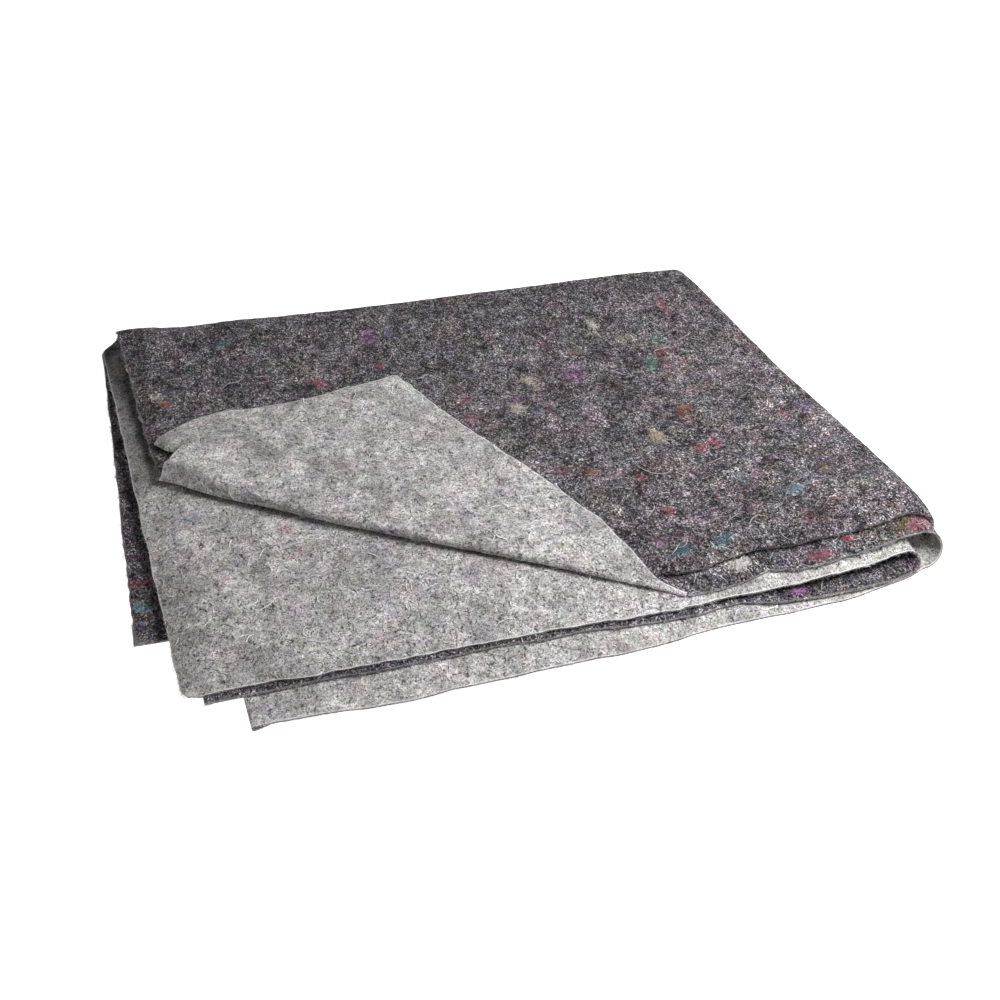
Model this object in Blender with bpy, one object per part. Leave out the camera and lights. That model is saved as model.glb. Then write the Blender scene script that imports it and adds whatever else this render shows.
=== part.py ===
"""Dust sheet of needled recycled felt, folded and with one corner peeled back.

One cloth, 2.5 m by 1 m: folded in half along its length with the fold at the back, then
back and forth into four panels, so that eight layers lie on each other.  The layers are
numbered from the top, 1 to 8.  Layer 1 has its front left corner rolled back over itself.

Metres, +Z up, +X along the panels, +Y to the back fold.  The origin is under the middle.
"""

import math
from collections import namedtuple

import bpy
import numpy as np
from mathutils import Matrix

# The cloth
SHEET_LENGTH = 2.5
SHEET_WIDTH = 1.0
THICKNESS = 0.0024
LAYER_GAP = 0.0008
PITCH = THICKNESS + LAYER_GAP

# The folded pack: a nominal panel, which each layer departs from at its corners
PANELS = 4
FOLD_ALLOWANCE = 0.100
PANEL_WIDTH = (SHEET_LENGTH - FOLD_ALLOWANCE) / PANELS
PANEL_DEPTH = SHEET_WIDTH / 2
SAG_REACH = 0.060
RIGHT_MARGIN = 0.060
FOLD_FULLNESS = 1.1
FOLD_STEPS = 6
BACK_STEPS = 4
BACK_DRIFT = 4.0
WELD_REACH = 0.00005

# Each layer's corners, as (x, y) steps from the corners of the nominal panel.
# bow is how far the middle of the front edge stands behind the line between its ends.
Layer = namedtuple("Layer", "front_left front_right back_left back_right bow")
LAYERS = (
    Layer((0.028, -0.018), (0.008, 0.013), (-0.028, -0.006), (-0.038, -0.010), 0.000),
    Layer((0.000, -0.010), (-0.010, 0.006), (-0.045, -0.002), (-0.044, -0.008), -0.003),
    Layer((0.021, -0.011), (-0.010, -0.014), (-0.022, -0.030), (-0.044, -0.026), 0.000),
    Layer((0.049, -0.046), (0.006, 0.001), (0.008, -0.030), (-0.038, -0.026), -0.011),
    Layer((0.049, -0.046), (0.000, 0.062), (0.008, -0.030), (-0.030, -0.010), 0.006),
    Layer((0.021, -0.011), (-0.006, 0.064), (-0.022, -0.030), (-0.034, -0.012), 0.006),
    Layer((-0.032, 0.068), (-0.006, 0.066), (-0.046, 0.006), (-0.034, -0.012), 0.000),
    Layer((-0.031, 0.066), (0.000, 0.064), (-0.047, 0.006), (-0.030, -0.010), 0.000),
)
# The front left corner of layer 2 is rounded off
ROUNDED_LAYER = 2
ROUNDED_CUT = 0.006
ROUNDED_REACH = 0.025
# The cloth is folded in half first, so each panel has one layer of either half
FIRST_HALF = (1, 4, 5, 8)
SECOND_HALF = (2, 3, 6, 7)

# Where the pack is loose: the named layer and all above it are lifted by a soft hump
Puff = namedtuple("Puff", "layer x y reach_x reach_y height")
PUFFS = (
    Puff(1, -0.030, 0.510, 0.050, 0.120, 0.011),
    Puff(1, 0.085, 0.510, 0.060, 0.100, 0.004),
    Puff(1, 0.300, 0.510, 0.600, 0.090, 0.008),
    Puff(1, 0.470, 0.500, 0.080, 0.080, 0.002),
    Puff(1, 0.000, 0.250, 0.140, 0.100, 0.003),
    Puff(1, 0.620, 0.020, 0.130, 0.090, 0.004),
    Puff(1, 0.625, 0.065, 0.060, 0.055, 0.005),
    Puff(2, 0.620, 0.050, 0.150, 0.110, 0.011),
    Puff(2, 0.610, 0.230, 0.120, 0.120, 0.006),
    Puff(3, 0.620, 0.000, 0.150, 0.100, 0.003),
)

# The tuck along the front of layer 1, which dies out at the right fold
TUCK_FRONT = 0.047
TUCK_BACK = 0.055
TUCK_RISE = 0.0035
TUCK_SPREAD = 0.12
TUCK_START = 0.60
TUCK_FULL = 0.72
TUCK_END = 0.05

# The peeled corner of layer 1: it rolls over a line from the left edge to the front edge
PEEL_LEFT = 0.523
PEEL_FRONT = 0.640
PEEL_END = 0.625
PEEL_BOW = 0.010
EDGE_SLANT = 0.010
SLANT_FADE = 0.12
ROLL_LEFT = 0.0080
ROLL_FRONT = 0.0018
ROLL_STEPS = 5
ROLL_LENGTH = 0.470
SETTLE_REACH = 0.110
# How far the flap reaches back from the roll, at distances along the roll
Reach = namedtuple("Reach", "along reach")
FLAP_REACH = (
    Reach(0.000, 0.100),
    Reach(0.033, 0.118),
    Reach(0.086, 0.159),
    Reach(0.138, 0.215),
    Reach(0.225, 0.156),
    Reach(0.305, 0.109),
    Reach(0.366, 0.065),
    Reach(0.430, 0.009),
    Reach(ROLL_LENGTH, 0.002),
)
FLAP_ROWS = (0.12, 0.26, 0.44, 0.72, 1.00)
# The small tongue left of the flap: its columns, from the flap outwards
Tongue = namedtuple("Tongue", "along low middle high lift")
TONGUE = (
    Tongue(-0.010, 0.038, 0.062, 0.086, 0.45),
    Tongue(-0.026, 0.038, 0.045, 0.051, 0.15),
)
TONGUE_ROW = 2

# The grid on each layer, as fractions of its width and depth
PEELED_COLUMNS = (0.0, 0.025, 0.06, 0.115, 0.18, 0.29, 0.40, 0.49, 0.56, PEEL_END)
COLUMNS = (
    PEELED_COLUMNS + (PEEL_FRONT, 0.71, 0.78, 0.86, 0.93, 1.0),
    (0.0, 0.05, 0.12, 0.22, 0.36, 0.50, 0.64, 0.78, 0.90, 0.96, 1.0),
    (0.0, 0.05, 0.14, 0.32, 0.55, 0.78, 0.92, 1.0),
    (0.0, 0.06, 0.30, 0.60, 0.90, 1.0),
)
FRONT_ROWS = (0.0, 0.025, TUCK_FRONT, TUCK_BACK, 0.085, 0.115, 0.15, 0.20)
ROWS = FRONT_ROWS + (0.30, 0.48, 0.68, 0.84, 0.93, 1.0)

FELT_COLOUR = (0.105, 0.094, 0.106, 1.0)
FELT_ROUGHNESS = 0.95


def smoothstep(t):
    """Rise from 0 to 1 with level ends."""
    t = np.clip(t, 0.0, 1.0)
    return t * t * (3.0 - 2.0 * t)


def corners(number):
    """Plan corners of a layer: front left, front right, back left, back right."""
    layer = LAYERS[number - 1]
    nominal = ((0.0, 0.0), (PANEL_WIDTH, 0.0), (0.0, PANEL_DEPTH), (PANEL_WIDTH, PANEL_DEPTH))
    steps = (layer.front_left, layer.front_right, layer.back_left, layer.back_right)
    return np.array(nominal) + np.array(steps)


def plan(number, u, v):
    """Plan position on a layer at u across from the left and v back from the front."""
    u, v = np.broadcast_arrays(np.asarray(u, float), np.asarray(v, float))
    front_left, front_right, back_left, back_right = corners(number)
    front = front_left + (front_right - front_left) * u[..., None]
    back = back_left + (back_right - back_left) * u[..., None]
    point = front + (back - front) * v[..., None]
    point[..., 1] += LAYERS[number - 1].bow * 4.0 * u * (1.0 - u) * (1.0 - v) ** 2
    if number == ROUNDED_LAYER:
        point += ROUNDED_CUT * np.exp(-(u ** 2 + v ** 2) / ROUNDED_REACH ** 2)[..., None]
    return point


def cover(number, x, y):
    """1 over a layer's own area, falling to 0 as the cloth above sags past its edges."""
    front_left, front_right, back_left, back_right = corners(number)
    margin = np.array((RIGHT_MARGIN, 0.0))
    loop = (front_left, front_right + margin, back_right + margin, back_left)
    total = np.ones_like(x)
    for start, end in zip(loop, loop[1:] + loop[:1]):
        along = (end - start) / np.linalg.norm(end - start)
        inside = along[0] * (y - start[1]) - along[1] * (x - start[0])
        total = total * smoothstep(1.0 + inside / SAG_REACH)
    return total


def height(number, x, y):
    """Height of a layer's middle: the layers under it, and the loose humps."""
    z = np.full_like(x, THICKNESS / 2)
    for below in range(number + 1, len(LAYERS) + 1):
        z = z + PITCH * cover(below, x, y)
    for puff in PUFFS:
        if number <= puff.layer:
            across = (x - puff.x) / puff.reach_x
            back = (y - puff.y) / puff.reach_y
            z = z + puff.height * np.exp(-across ** 2 - back ** 2)
    return z


def tuck(u, v):
    """Extra height of layer 1 behind its tuck."""
    strength = smoothstep((u - TUCK_START) / (TUCK_FULL - TUCK_START))
    strength = strength * smoothstep((1.0 - u) / TUCK_END)
    step = smoothstep((v - TUCK_FRONT) / (TUCK_BACK - TUCK_FRONT))
    return TUCK_RISE * strength * step * np.exp(-np.clip(v - TUCK_BACK, 0.0, None) / TUCK_SPREAD)


def on_layer(number, u, v):
    """Points in space on a layer, at u across and v back."""
    point = plan(number, u, v)
    z = height(number, point[..., 0], point[..., 1])
    if number == 1:
        z = z + tuck(u, v)
    return np.concatenate([point, z[..., None]], axis=-1)


def peel_line():
    """The line that layer 1 leaves on at the roll: its start, direction and way back."""
    start = plan(1, 0.0, PEEL_LEFT)
    end = plan(1, PEEL_FRONT, 0.0)
    along = (end - start) / np.linalg.norm(end - start)
    return start, along, np.array((-along[1], along[0]))


def peel_cut(u):
    """Depth v at which the bowed peel line crosses layer 1's line u, or 0 right of it."""
    start, along, back = peel_line()
    front_side = np.dot(plan(1, u, 0.0) - start, back)
    back_side = np.dot(plan(1, u, 1.0) - start, back)
    if front_side >= 0.0:
        return 0.0
    cut = front_side / (front_side - back_side)
    share = np.dot(plan(1, u, cut) - start, along) / ROLL_LENGTH
    return max(0.0, cut - PEEL_BOW / PANEL_DEPTH * 4.0 * share * (1.0 - share))


def layer_line(number, u):
    """One line of a layer from its front to its back."""
    rows = np.array(ROWS)
    if number == 1:
        cut = peel_cut(u)
        rows = cut + (1.0 - cut) * rows
    return on_layer(number, np.full_like(rows, u), rows)


def bend(first, last, outward, step, steps, fullness, drift=1.0):
    """Points between two lines, on a half ellipse that swells outwards.

    drift above 1 keeps X near the first line's for longer.
    """
    angle = math.pi * step / steps
    share = (1.0 - math.cos(angle)) / 2.0
    shares = np.array((share ** drift, share, share))
    swell = np.linalg.norm((first - last)[..., 1:], axis=-1, keepdims=True) / 2.0 * fullness
    return first + (last - first) * shares + np.array(outward) * swell * math.sin(angle)


def sheet_lines():
    """Lines across the whole cloth, in order along its length."""
    pairs = []
    for panel, columns in enumerate(COLUMNS):
        rightwards = panel % 2 == 0
        us = columns if rightwards else columns[::-1]
        numbers = (FIRST_HALF[panel], SECOND_HALF[panel])
        lines = [[layer_line(number, u) for number in numbers] for u in us]
        if pairs:
            outward = (-1.0, 0.0, 0.0) if rightwards else (1.0, 0.0, 0.0)
            before = pairs[-1]
            for step in range(1, FOLD_STEPS):
                ends = zip(before, lines[0])
                pairs.append([bend(a, b, outward, step, FOLD_STEPS, FOLD_FULLNESS) for a, b in ends])
        pairs.extend(lines)
    result = []
    for first, second in pairs:
        ends = (first[-1], second[-1], (0.0, 1.0, 0.0))
        turn = [bend(*ends, step, BACK_STEPS, 1.0, BACK_DRIFT) for step in range(1, BACK_STEPS)]
        result.append(np.concatenate([first, np.array(turn), second[::-1]]))
    return np.array(result)


def roll_radius(along):
    """Radius of the roll, which tapers from the left edge to the front edge."""
    share = np.clip(along / ROLL_LENGTH, 0.0, 1.0)
    return ROLL_LEFT + (ROLL_FRONT - ROLL_LEFT) * share


def settle(along, back, lift):
    """Height of the flap over layer 1 at a distance back from the roll."""
    drop = 1.0 - smoothstep(back / SETTLE_REACH)
    return PITCH + lift * (2.0 * roll_radius(along) - PITCH) * drop


def over_layer(along, back, lift):
    """A point of the flap, at a distance along the roll and back from it."""
    start, direction, behind = peel_line()
    x, y = start + direction * along + behind * back
    base = height(1, np.array([x]), np.array([y]))[0]
    return np.array((x, y, base + settle(along, back, lift)))


def flap_column(u):
    """One line of the flap: over the roll, and back to its free edge."""
    start, direction, behind = peel_line()
    foot = on_layer(1, np.array([u]), np.array([peel_cut(u)]))[0]
    along = float(np.dot(foot[:2] - start, direction))
    radius = float(roll_radius(along))
    slant = EDGE_SLANT * max(0.0, 1.0 - u / SLANT_FADE)
    line = [foot]
    for step in range(1, ROLL_STEPS + 1):
        angle = math.pi * step / ROLL_STEPS
        x, y = foot[:2] - behind * radius * math.sin(angle) + direction * slant * step / ROLL_STEPS
        line.append(np.array((x, y, foot[2] + radius * (1.0 - math.cos(angle)))))
    along = along + slant
    alongs, reaches = zip(*FLAP_REACH)
    reach = float(np.interp(along, alongs, reaches))
    line.extend(over_layer(along, reach * share, 1.0) for share in FLAP_ROWS)
    return line


def grid_faces(vertices, faces, lines):
    """Add a grid of points and its faces, from a list of lines of equal length."""
    base = len(vertices)
    count = len(lines[0])
    for line in lines:
        vertices.extend(tuple(point) for point in line)
    for i in range(len(lines) - 1):
        for j in range(count - 1):
            corner = base + i * count + j
            faces.append((corner, corner + count, corner + count + 1, corner + 1))


def build_sheet():
    """The cloth's middle surface, with its thickness as a live Solidify."""
    vertices = []
    faces = []
    grid_faces(vertices, faces, sheet_lines())

    flap = [flap_column(u) for u in COLUMNS[0] if u <= PEEL_END]
    grid_faces(vertices, faces, [line[::-1] for line in flap])

    root = flap[0][1 + ROLL_STEPS + TONGUE_ROW:]
    tongue = [root]
    for column in TONGUE:
        reaches = (column.low, column.middle, column.high)
        tongue.append([over_layer(column.along, reach, column.lift) for reach in reaches])
    grid_faces(vertices, faces, tongue)

    mesh = bpy.data.meshes.new("dust_sheet")
    mesh.from_pydata(vertices, [], faces)
    sheet = bpy.data.objects.new("dust_sheet", mesh)
    bpy.context.scene.collection.objects.link(sheet)

    weld = sheet.modifiers.new("join", "WELD")
    weld.merge_threshold = WELD_REACH
    solidify = sheet.modifiers.new("felt", "SOLIDIFY")
    solidify.thickness = THICKNESS
    solidify.offset = 0.0
    return sheet


def centre(sheet):
    """Bring the middle of the whole cloth's box over the origin."""
    box = np.array(sheet.evaluated_get(bpy.context.evaluated_depsgraph_get()).bound_box)
    middle = (box.min(axis=0) + box.max(axis=0)) / 2
    sheet.data.transform(Matrix.Translation((-middle[0], -middle[1], 0.0)))


def felt_material():
    """Dark mottled recycled felt, without shine."""
    material = bpy.data.materials.new("recycled_felt")
    material.use_nodes = True
    shader = material.node_tree.nodes["Principled BSDF"]
    shader.inputs["Base Color"].default_value = FELT_COLOUR
    shader.inputs["Roughness"].default_value = FELT_ROUGHNESS
    shader.inputs["Metallic"].default_value = 0.0
    return material


def main():
    """Clear the scene and build the folded sheet."""
    for item in list(bpy.data.objects):
        bpy.data.objects.remove(item)
    sheet = build_sheet()
    centre(sheet)
    sheet.data.materials.append(felt_material())


main()
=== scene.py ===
"""Looks of a folded dust sheet: needled recycled felt with one corner peeled back.

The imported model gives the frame.  This script lays a finer two-sided felt on the same folds,
works up its dark and pale faces and its cut edge, and adds loose fibres, frayed edges and lint.

Metres, +Z up, +X along the folded panels, +Y to the back fold.
"""

from __future__ import annotations

import logging
import math
from dataclasses import dataclass, field
from enum import Enum
from functools import cached_property
from typing import Any, Sequence

import bpy
import numpy as np
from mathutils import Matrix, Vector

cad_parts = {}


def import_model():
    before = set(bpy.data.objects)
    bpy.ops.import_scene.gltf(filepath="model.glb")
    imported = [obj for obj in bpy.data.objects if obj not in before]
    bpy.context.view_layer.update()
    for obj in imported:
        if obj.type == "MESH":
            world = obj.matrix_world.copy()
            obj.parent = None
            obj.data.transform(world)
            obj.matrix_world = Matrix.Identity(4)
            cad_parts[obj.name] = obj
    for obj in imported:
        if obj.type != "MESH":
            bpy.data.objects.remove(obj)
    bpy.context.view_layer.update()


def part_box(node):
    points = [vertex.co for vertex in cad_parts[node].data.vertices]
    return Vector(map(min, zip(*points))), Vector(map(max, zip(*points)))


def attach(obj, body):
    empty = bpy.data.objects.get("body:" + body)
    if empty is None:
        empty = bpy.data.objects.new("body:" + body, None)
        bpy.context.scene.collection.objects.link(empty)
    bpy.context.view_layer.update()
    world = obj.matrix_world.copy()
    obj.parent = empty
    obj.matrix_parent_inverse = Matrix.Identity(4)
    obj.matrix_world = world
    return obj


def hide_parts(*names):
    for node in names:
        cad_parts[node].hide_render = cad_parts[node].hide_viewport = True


LOG = logging.getLogger("dust_sheet")
MM = 0.001
Array = np.ndarray


def smoothstep(t: Array) -> Array:
    """Rise from 0 to 1 with level ends: 3t² − 2t³ between them.

    Args:
        t: values, of which those outside 0 to 1 are held at the ends.
    Returns:
        The eased values.
    """
    t = np.clip(t, 0.0, 1.0)
    return t * t * (3.0 - 2.0 * t)


def bell(distance: Array, reach: float) -> Array:
    """A soft hump, e to the power of minus the square of distance over reach."""
    return np.exp(-((distance / reach) ** 2))


def waves(x: Array, y: Array, seed: int, longest: float, shortest: float, count: int = 14) -> Array:
    """A smooth uneven field: a sum of sine waves of random direction, length and phase.

    Args:
        x: first coordinate in metres.
        y: second coordinate in metres.
        seed: number that fixes the random draws.
        longest: longest wave in metres.
        shortest: shortest wave in metres.
        count: number of waves.
    Returns:
        Values of about −1 to 1.
    """
    rng = np.random.default_rng(seed)
    turn = rng.uniform(0.0, math.tau, count)
    phase = rng.uniform(0.0, math.tau, count)
    length = longest * (shortest / longest) ** rng.uniform(0.0, 1.0, count)
    weight = np.sqrt(length / longest)
    total = np.zeros(np.broadcast(x, y).shape)
    for t, p, size, w in zip(turn, phase, length, weight):
        total = total + w * np.sin(math.tau * (x * math.cos(t) + y * math.sin(t)) / size + p)
    return total / (np.sqrt(np.sum(weight ** 2)) * 1.4)


def linear(code: str) -> tuple[float, float, float, float]:
    """Turn an sRGB hex colour into linear light.

    Each channel c becomes ((c + 0.055)/1.055)^2.4, or c/12.92 where it is nearly black.

    Args:
        code: the colour, such as '#8a8486'.
    Returns:
        Red, green and blue with alpha 1.
    """
    channels = [int(code[k:k + 2], 16) / 255.0 for k in (1, 3, 5)]
    light = [c / 12.92 if c <= 0.04045 else ((c + 0.055) / 1.055) ** 2.4 for c in channels]
    return (light[0], light[1], light[2], 1.0)


def set_inputs(node: Any, **values: Any) -> None:
    """Give a node's inputs their values, each named with underscores for the spaces."""
    for name, value in values.items():
        node.inputs[name.replace("_", " ")].default_value = value


def new_material(name: str, **values: Any) -> tuple[bpy.types.Material, Any]:
    """Make a material with nodes.

    Args:
        name: what it is.
        values: its shader's values, by input.
    Returns:
        The material and its shader.
    """
    material = bpy.data.materials.new(name)
    material.use_nodes = True
    shader = material.node_tree.nodes["Principled BSDF"]
    set_inputs(shader, **values)
    return material, shader


def place_object(name: str, data: Any) -> bpy.types.Object:
    """Put a mesh, a lamp or a camera in the scene.

    Args:
        name: the object's name.
        data: what it shows.
    Returns:
        The object, at the origin.
    """
    item = bpy.data.objects.new(name, data)
    bpy.context.scene.collection.objects.link(item)
    return item


def add_attribute(mesh: bpy.types.Mesh, name: str, values: Array) -> None:
    """Store a number or a colour for each point of a mesh.

    Args:
        mesh: the mesh.
        name: the attribute's name.
        values: one number or four for each point.
    """
    kind, key = ("FLOAT_COLOR", "color") if values.ndim == 2 else ("FLOAT", "value")
    attribute = mesh.attributes.new(name, kind, "POINT")
    attribute.data.foreach_set(key, values.astype(np.float32).ravel())


class Face(Enum):
    """The two faces of the felt, as the side of the middle surface that each is on."""

    DARK = 1.0
    PALE = -1.0


@dataclass(frozen=True)
class Layer:
    """One layer of the pack: its corners' (x, y) steps from the nominal panel, in metres.

    bow is how far the middle of the front edge stands behind the line between its ends.
    """

    front_left: tuple[float, float]
    front_right: tuple[float, float]
    back_left: tuple[float, float]
    back_right: tuple[float, float]
    bow: float


@dataclass(frozen=True)
class Puff:
    """A soft hump that lifts the named layer and all above it."""

    layer: int
    x: float
    y: float
    reach_x: float
    reach_y: float
    height: float


@dataclass(frozen=True)
class EdgeStep:
    """How far a front edge lies behind its straight line and above it, at u across."""

    u: float
    back: float
    lift: float = 0.0


@dataclass(frozen=True)
class TuckStep:
    """A point of the tuck's crease: v back from the front edge, at u across."""

    u: float
    v: float


FRONT_EDGES: dict[int, tuple[EdgeStep, ...]] = {
    1: (EdgeStep(0.680, -0.001), EdgeStep(0.707, 0.0005), EdgeStep(0.734, 0.002, 0.0008),
        EdgeStep(0.758, 0.0055, 0.0020), EdgeStep(0.787, 0.001, 0.0020),
        EdgeStep(0.804, -0.002, 0.0008), EdgeStep(0.825, -0.003), EdgeStep(0.877, -0.0024),
        EdgeStep(0.924, -0.0019), EdgeStep(0.967, 0.0015), EdgeStep(1.000, 0.002)),
    2: (EdgeStep(0.000, 0.000), EdgeStep(0.073, -0.0016), EdgeStep(0.147, -0.0034),
        EdgeStep(0.276, -0.0027), EdgeStep(0.414, -0.0016), EdgeStep(0.528, -0.0022),
        EdgeStep(0.599, -0.0046), EdgeStep(0.650, -0.0059), EdgeStep(0.711, -0.0037),
        EdgeStep(0.833, -0.0058), EdgeStep(0.936, -0.0050), EdgeStep(0.963, -0.0025),
        EdgeStep(1.000, 0.000)),
    3: (EdgeStep(0.000, -0.006), EdgeStep(0.037, -0.0088), EdgeStep(0.114, -0.0058),
        EdgeStep(0.274, -0.0037), EdgeStep(0.332, -0.0018), EdgeStep(0.390, 0.0009),
        EdgeStep(0.448, -0.0009), EdgeStep(0.509, 0.002), EdgeStep(0.582, -0.0009),
        EdgeStep(0.676, 0.001), EdgeStep(0.731, 0.0066), EdgeStep(0.789, -0.0002),
        EdgeStep(0.840, -0.003), EdgeStep(0.878, -0.0005), EdgeStep(0.925, -0.0006),
        EdgeStep(0.977, 0.0039), EdgeStep(1.000, 0.0083)),
    4: (EdgeStep(0.000, -0.0014), EdgeStep(0.041, 0.0005), EdgeStep(0.140, -0.0013),
        EdgeStep(0.191, -0.0033), EdgeStep(0.277, 0.000), EdgeStep(0.456, -0.0006),
        EdgeStep(0.532, -0.0029), EdgeStep(0.631, -0.0005), EdgeStep(0.697, -0.0009),
        EdgeStep(0.762, -0.0039), EdgeStep(0.844, -0.0074), EdgeStep(0.896, -0.0067),
        EdgeStep(0.951, -0.0052), EdgeStep(1.000, 0.000)),
}
TUCK_LINE = (
    TuckStep(0.613, 0.0490), TuckStep(0.640, 0.0455), TuckStep(0.670, 0.0455),
    TuckStep(0.711, 0.0505), TuckStep(0.762, 0.0495), TuckStep(0.820, 0.0440),
    TuckStep(0.851, 0.0425), TuckStep(0.918, 0.0360), TuckStep(0.965, 0.0340),
    TuckStep(0.990, 0.0365), TuckStep(1.000, 0.0350),
)


@dataclass
class Patch:
    """A grid of points on the cloth's middle surface, wound so that its normals are dark."""

    points: Array

    @cached_property
    def normals(self) -> Array:
        """Unit normals: the cross product of the steps along the grid's two directions."""
        across = np.cross(np.gradient(self.points, axis=0), np.gradient(self.points, axis=1))
        return across / np.maximum(np.linalg.norm(across, axis=-1, keepdims=True), 1e-12)

    @cached_property
    def steps(self) -> tuple[Array, Array]:
        """Steps from point to point along the grid's first and second directions."""
        return np.gradient(self.points, axis=0), np.gradient(self.points, axis=1)

    def walk(self, i: Array, j: Array, move: Array) -> tuple[Array, Array]:
        """Move on the surface: a step in space turned into grid steps.

        The grid steps solve the two equations of the surface's first fundamental form.

        Args:
            i: place along the first direction.
            j: place along the second direction.
            move: the step in space for each place, in metres.
        Returns:
            The new places.
        """
        eu, ev = (self.sample(step, i, j) for step in self.steps)
        uu, vv, uv = (eu * eu).sum(-1), (ev * ev).sum(-1), (eu * ev).sum(-1)
        mu, mv = (move * eu).sum(-1), (move * ev).sum(-1)
        spread = np.maximum(uu * vv - uv * uv, 1e-18)
        return i + (mu * vv - mv * uv) / spread, j + (mv * uu - mu * uv) / spread

    def find(self, place: tuple[float, float], lines: slice, points: slice) -> tuple[float, float]:
        """Grid place nearest to a plan position, within a range of the grid.

        Args:
            place: x and y in the frame.
            lines: range along the first direction.
            points: range along the second direction.
        Returns:
            The place along both directions.
        """
        flat = self.points[lines, points, :2] - np.array(place)
        nearest = np.unravel_index(np.argmin((flat ** 2).sum(-1)), flat.shape[:2])
        return float(nearest[0] + (lines.start or 0)), float(nearest[1] + (points.start or 0))

    def faces(self, base: int) -> Array:
        """Quads of the grid as vertex numbers.

        Args:
            base: number of the patch's first vertex.
        Returns:
            Four vertex numbers for each quad.
        """
        lines, count = self.points.shape[:2]
        corner = np.arange(lines - 1)[:, None] * count + np.arange(count - 1)[None, :]
        corner = corner.ravel() + base
        return np.stack([corner, corner + count, corner + count + 1, corner + 1], axis=1)

    def reach(self, axis: int, from_end: bool = False) -> Array:
        """Distance of each point from a side of the grid, added up along the surface.

        Args:
            axis: direction that is walked.
            from_end: whether it counts from the last line and not the first.
        Returns:
            One distance for each point.
        """
        steps = np.linalg.norm(np.diff(self.points, axis=axis), axis=-1)
        steps = np.flip(steps, axis) if from_end else steps
        start = np.zeros_like(np.take(steps, [0], axis))
        total = np.concatenate([start, np.cumsum(steps, axis)], axis)
        return np.flip(total, axis) if from_end else total

    def cell_areas(self) -> Array:
        """Area of each quad, from the cross product of its diagonals.

        Returns:
            The areas in square metres.
        """
        p = self.points
        first = p[1:, 1:] - p[:-1, :-1]
        second = p[:-1, 1:] - p[1:, :-1]
        return np.linalg.norm(np.cross(first, second), axis=-1) / 2.0

    def sample(self, grid: Array, i: Array, j: Array) -> Array:
        """Blend a grid's values at fractional places: a weighted sum of the four corners.

        Args:
            grid: points or normals of this patch.
            i: place along the first direction.
            j: place along the second direction.
        Returns:
            One vector for each place.
        """
        i = np.clip(i, 0.0, grid.shape[0] - 1.001)
        j = np.clip(j, 0.0, grid.shape[1] - 1.001)
        a, b = i.astype(int), j.astype(int)
        s, t = (i - a)[..., None], (j - b)[..., None]
        near = grid[a, b] * (1 - s) + grid[a + 1, b] * s
        far = grid[a, b + 1] * (1 - s) + grid[a + 1, b + 1] * s
        return near * (1 - t) + far * t


@dataclass(frozen=True)
class PlacedLint:
    """A tuft or a patch of painted shade, with the face and the grid place that it was found at."""

    lint: Lint
    face: Face
    i: float
    j: float


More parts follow.
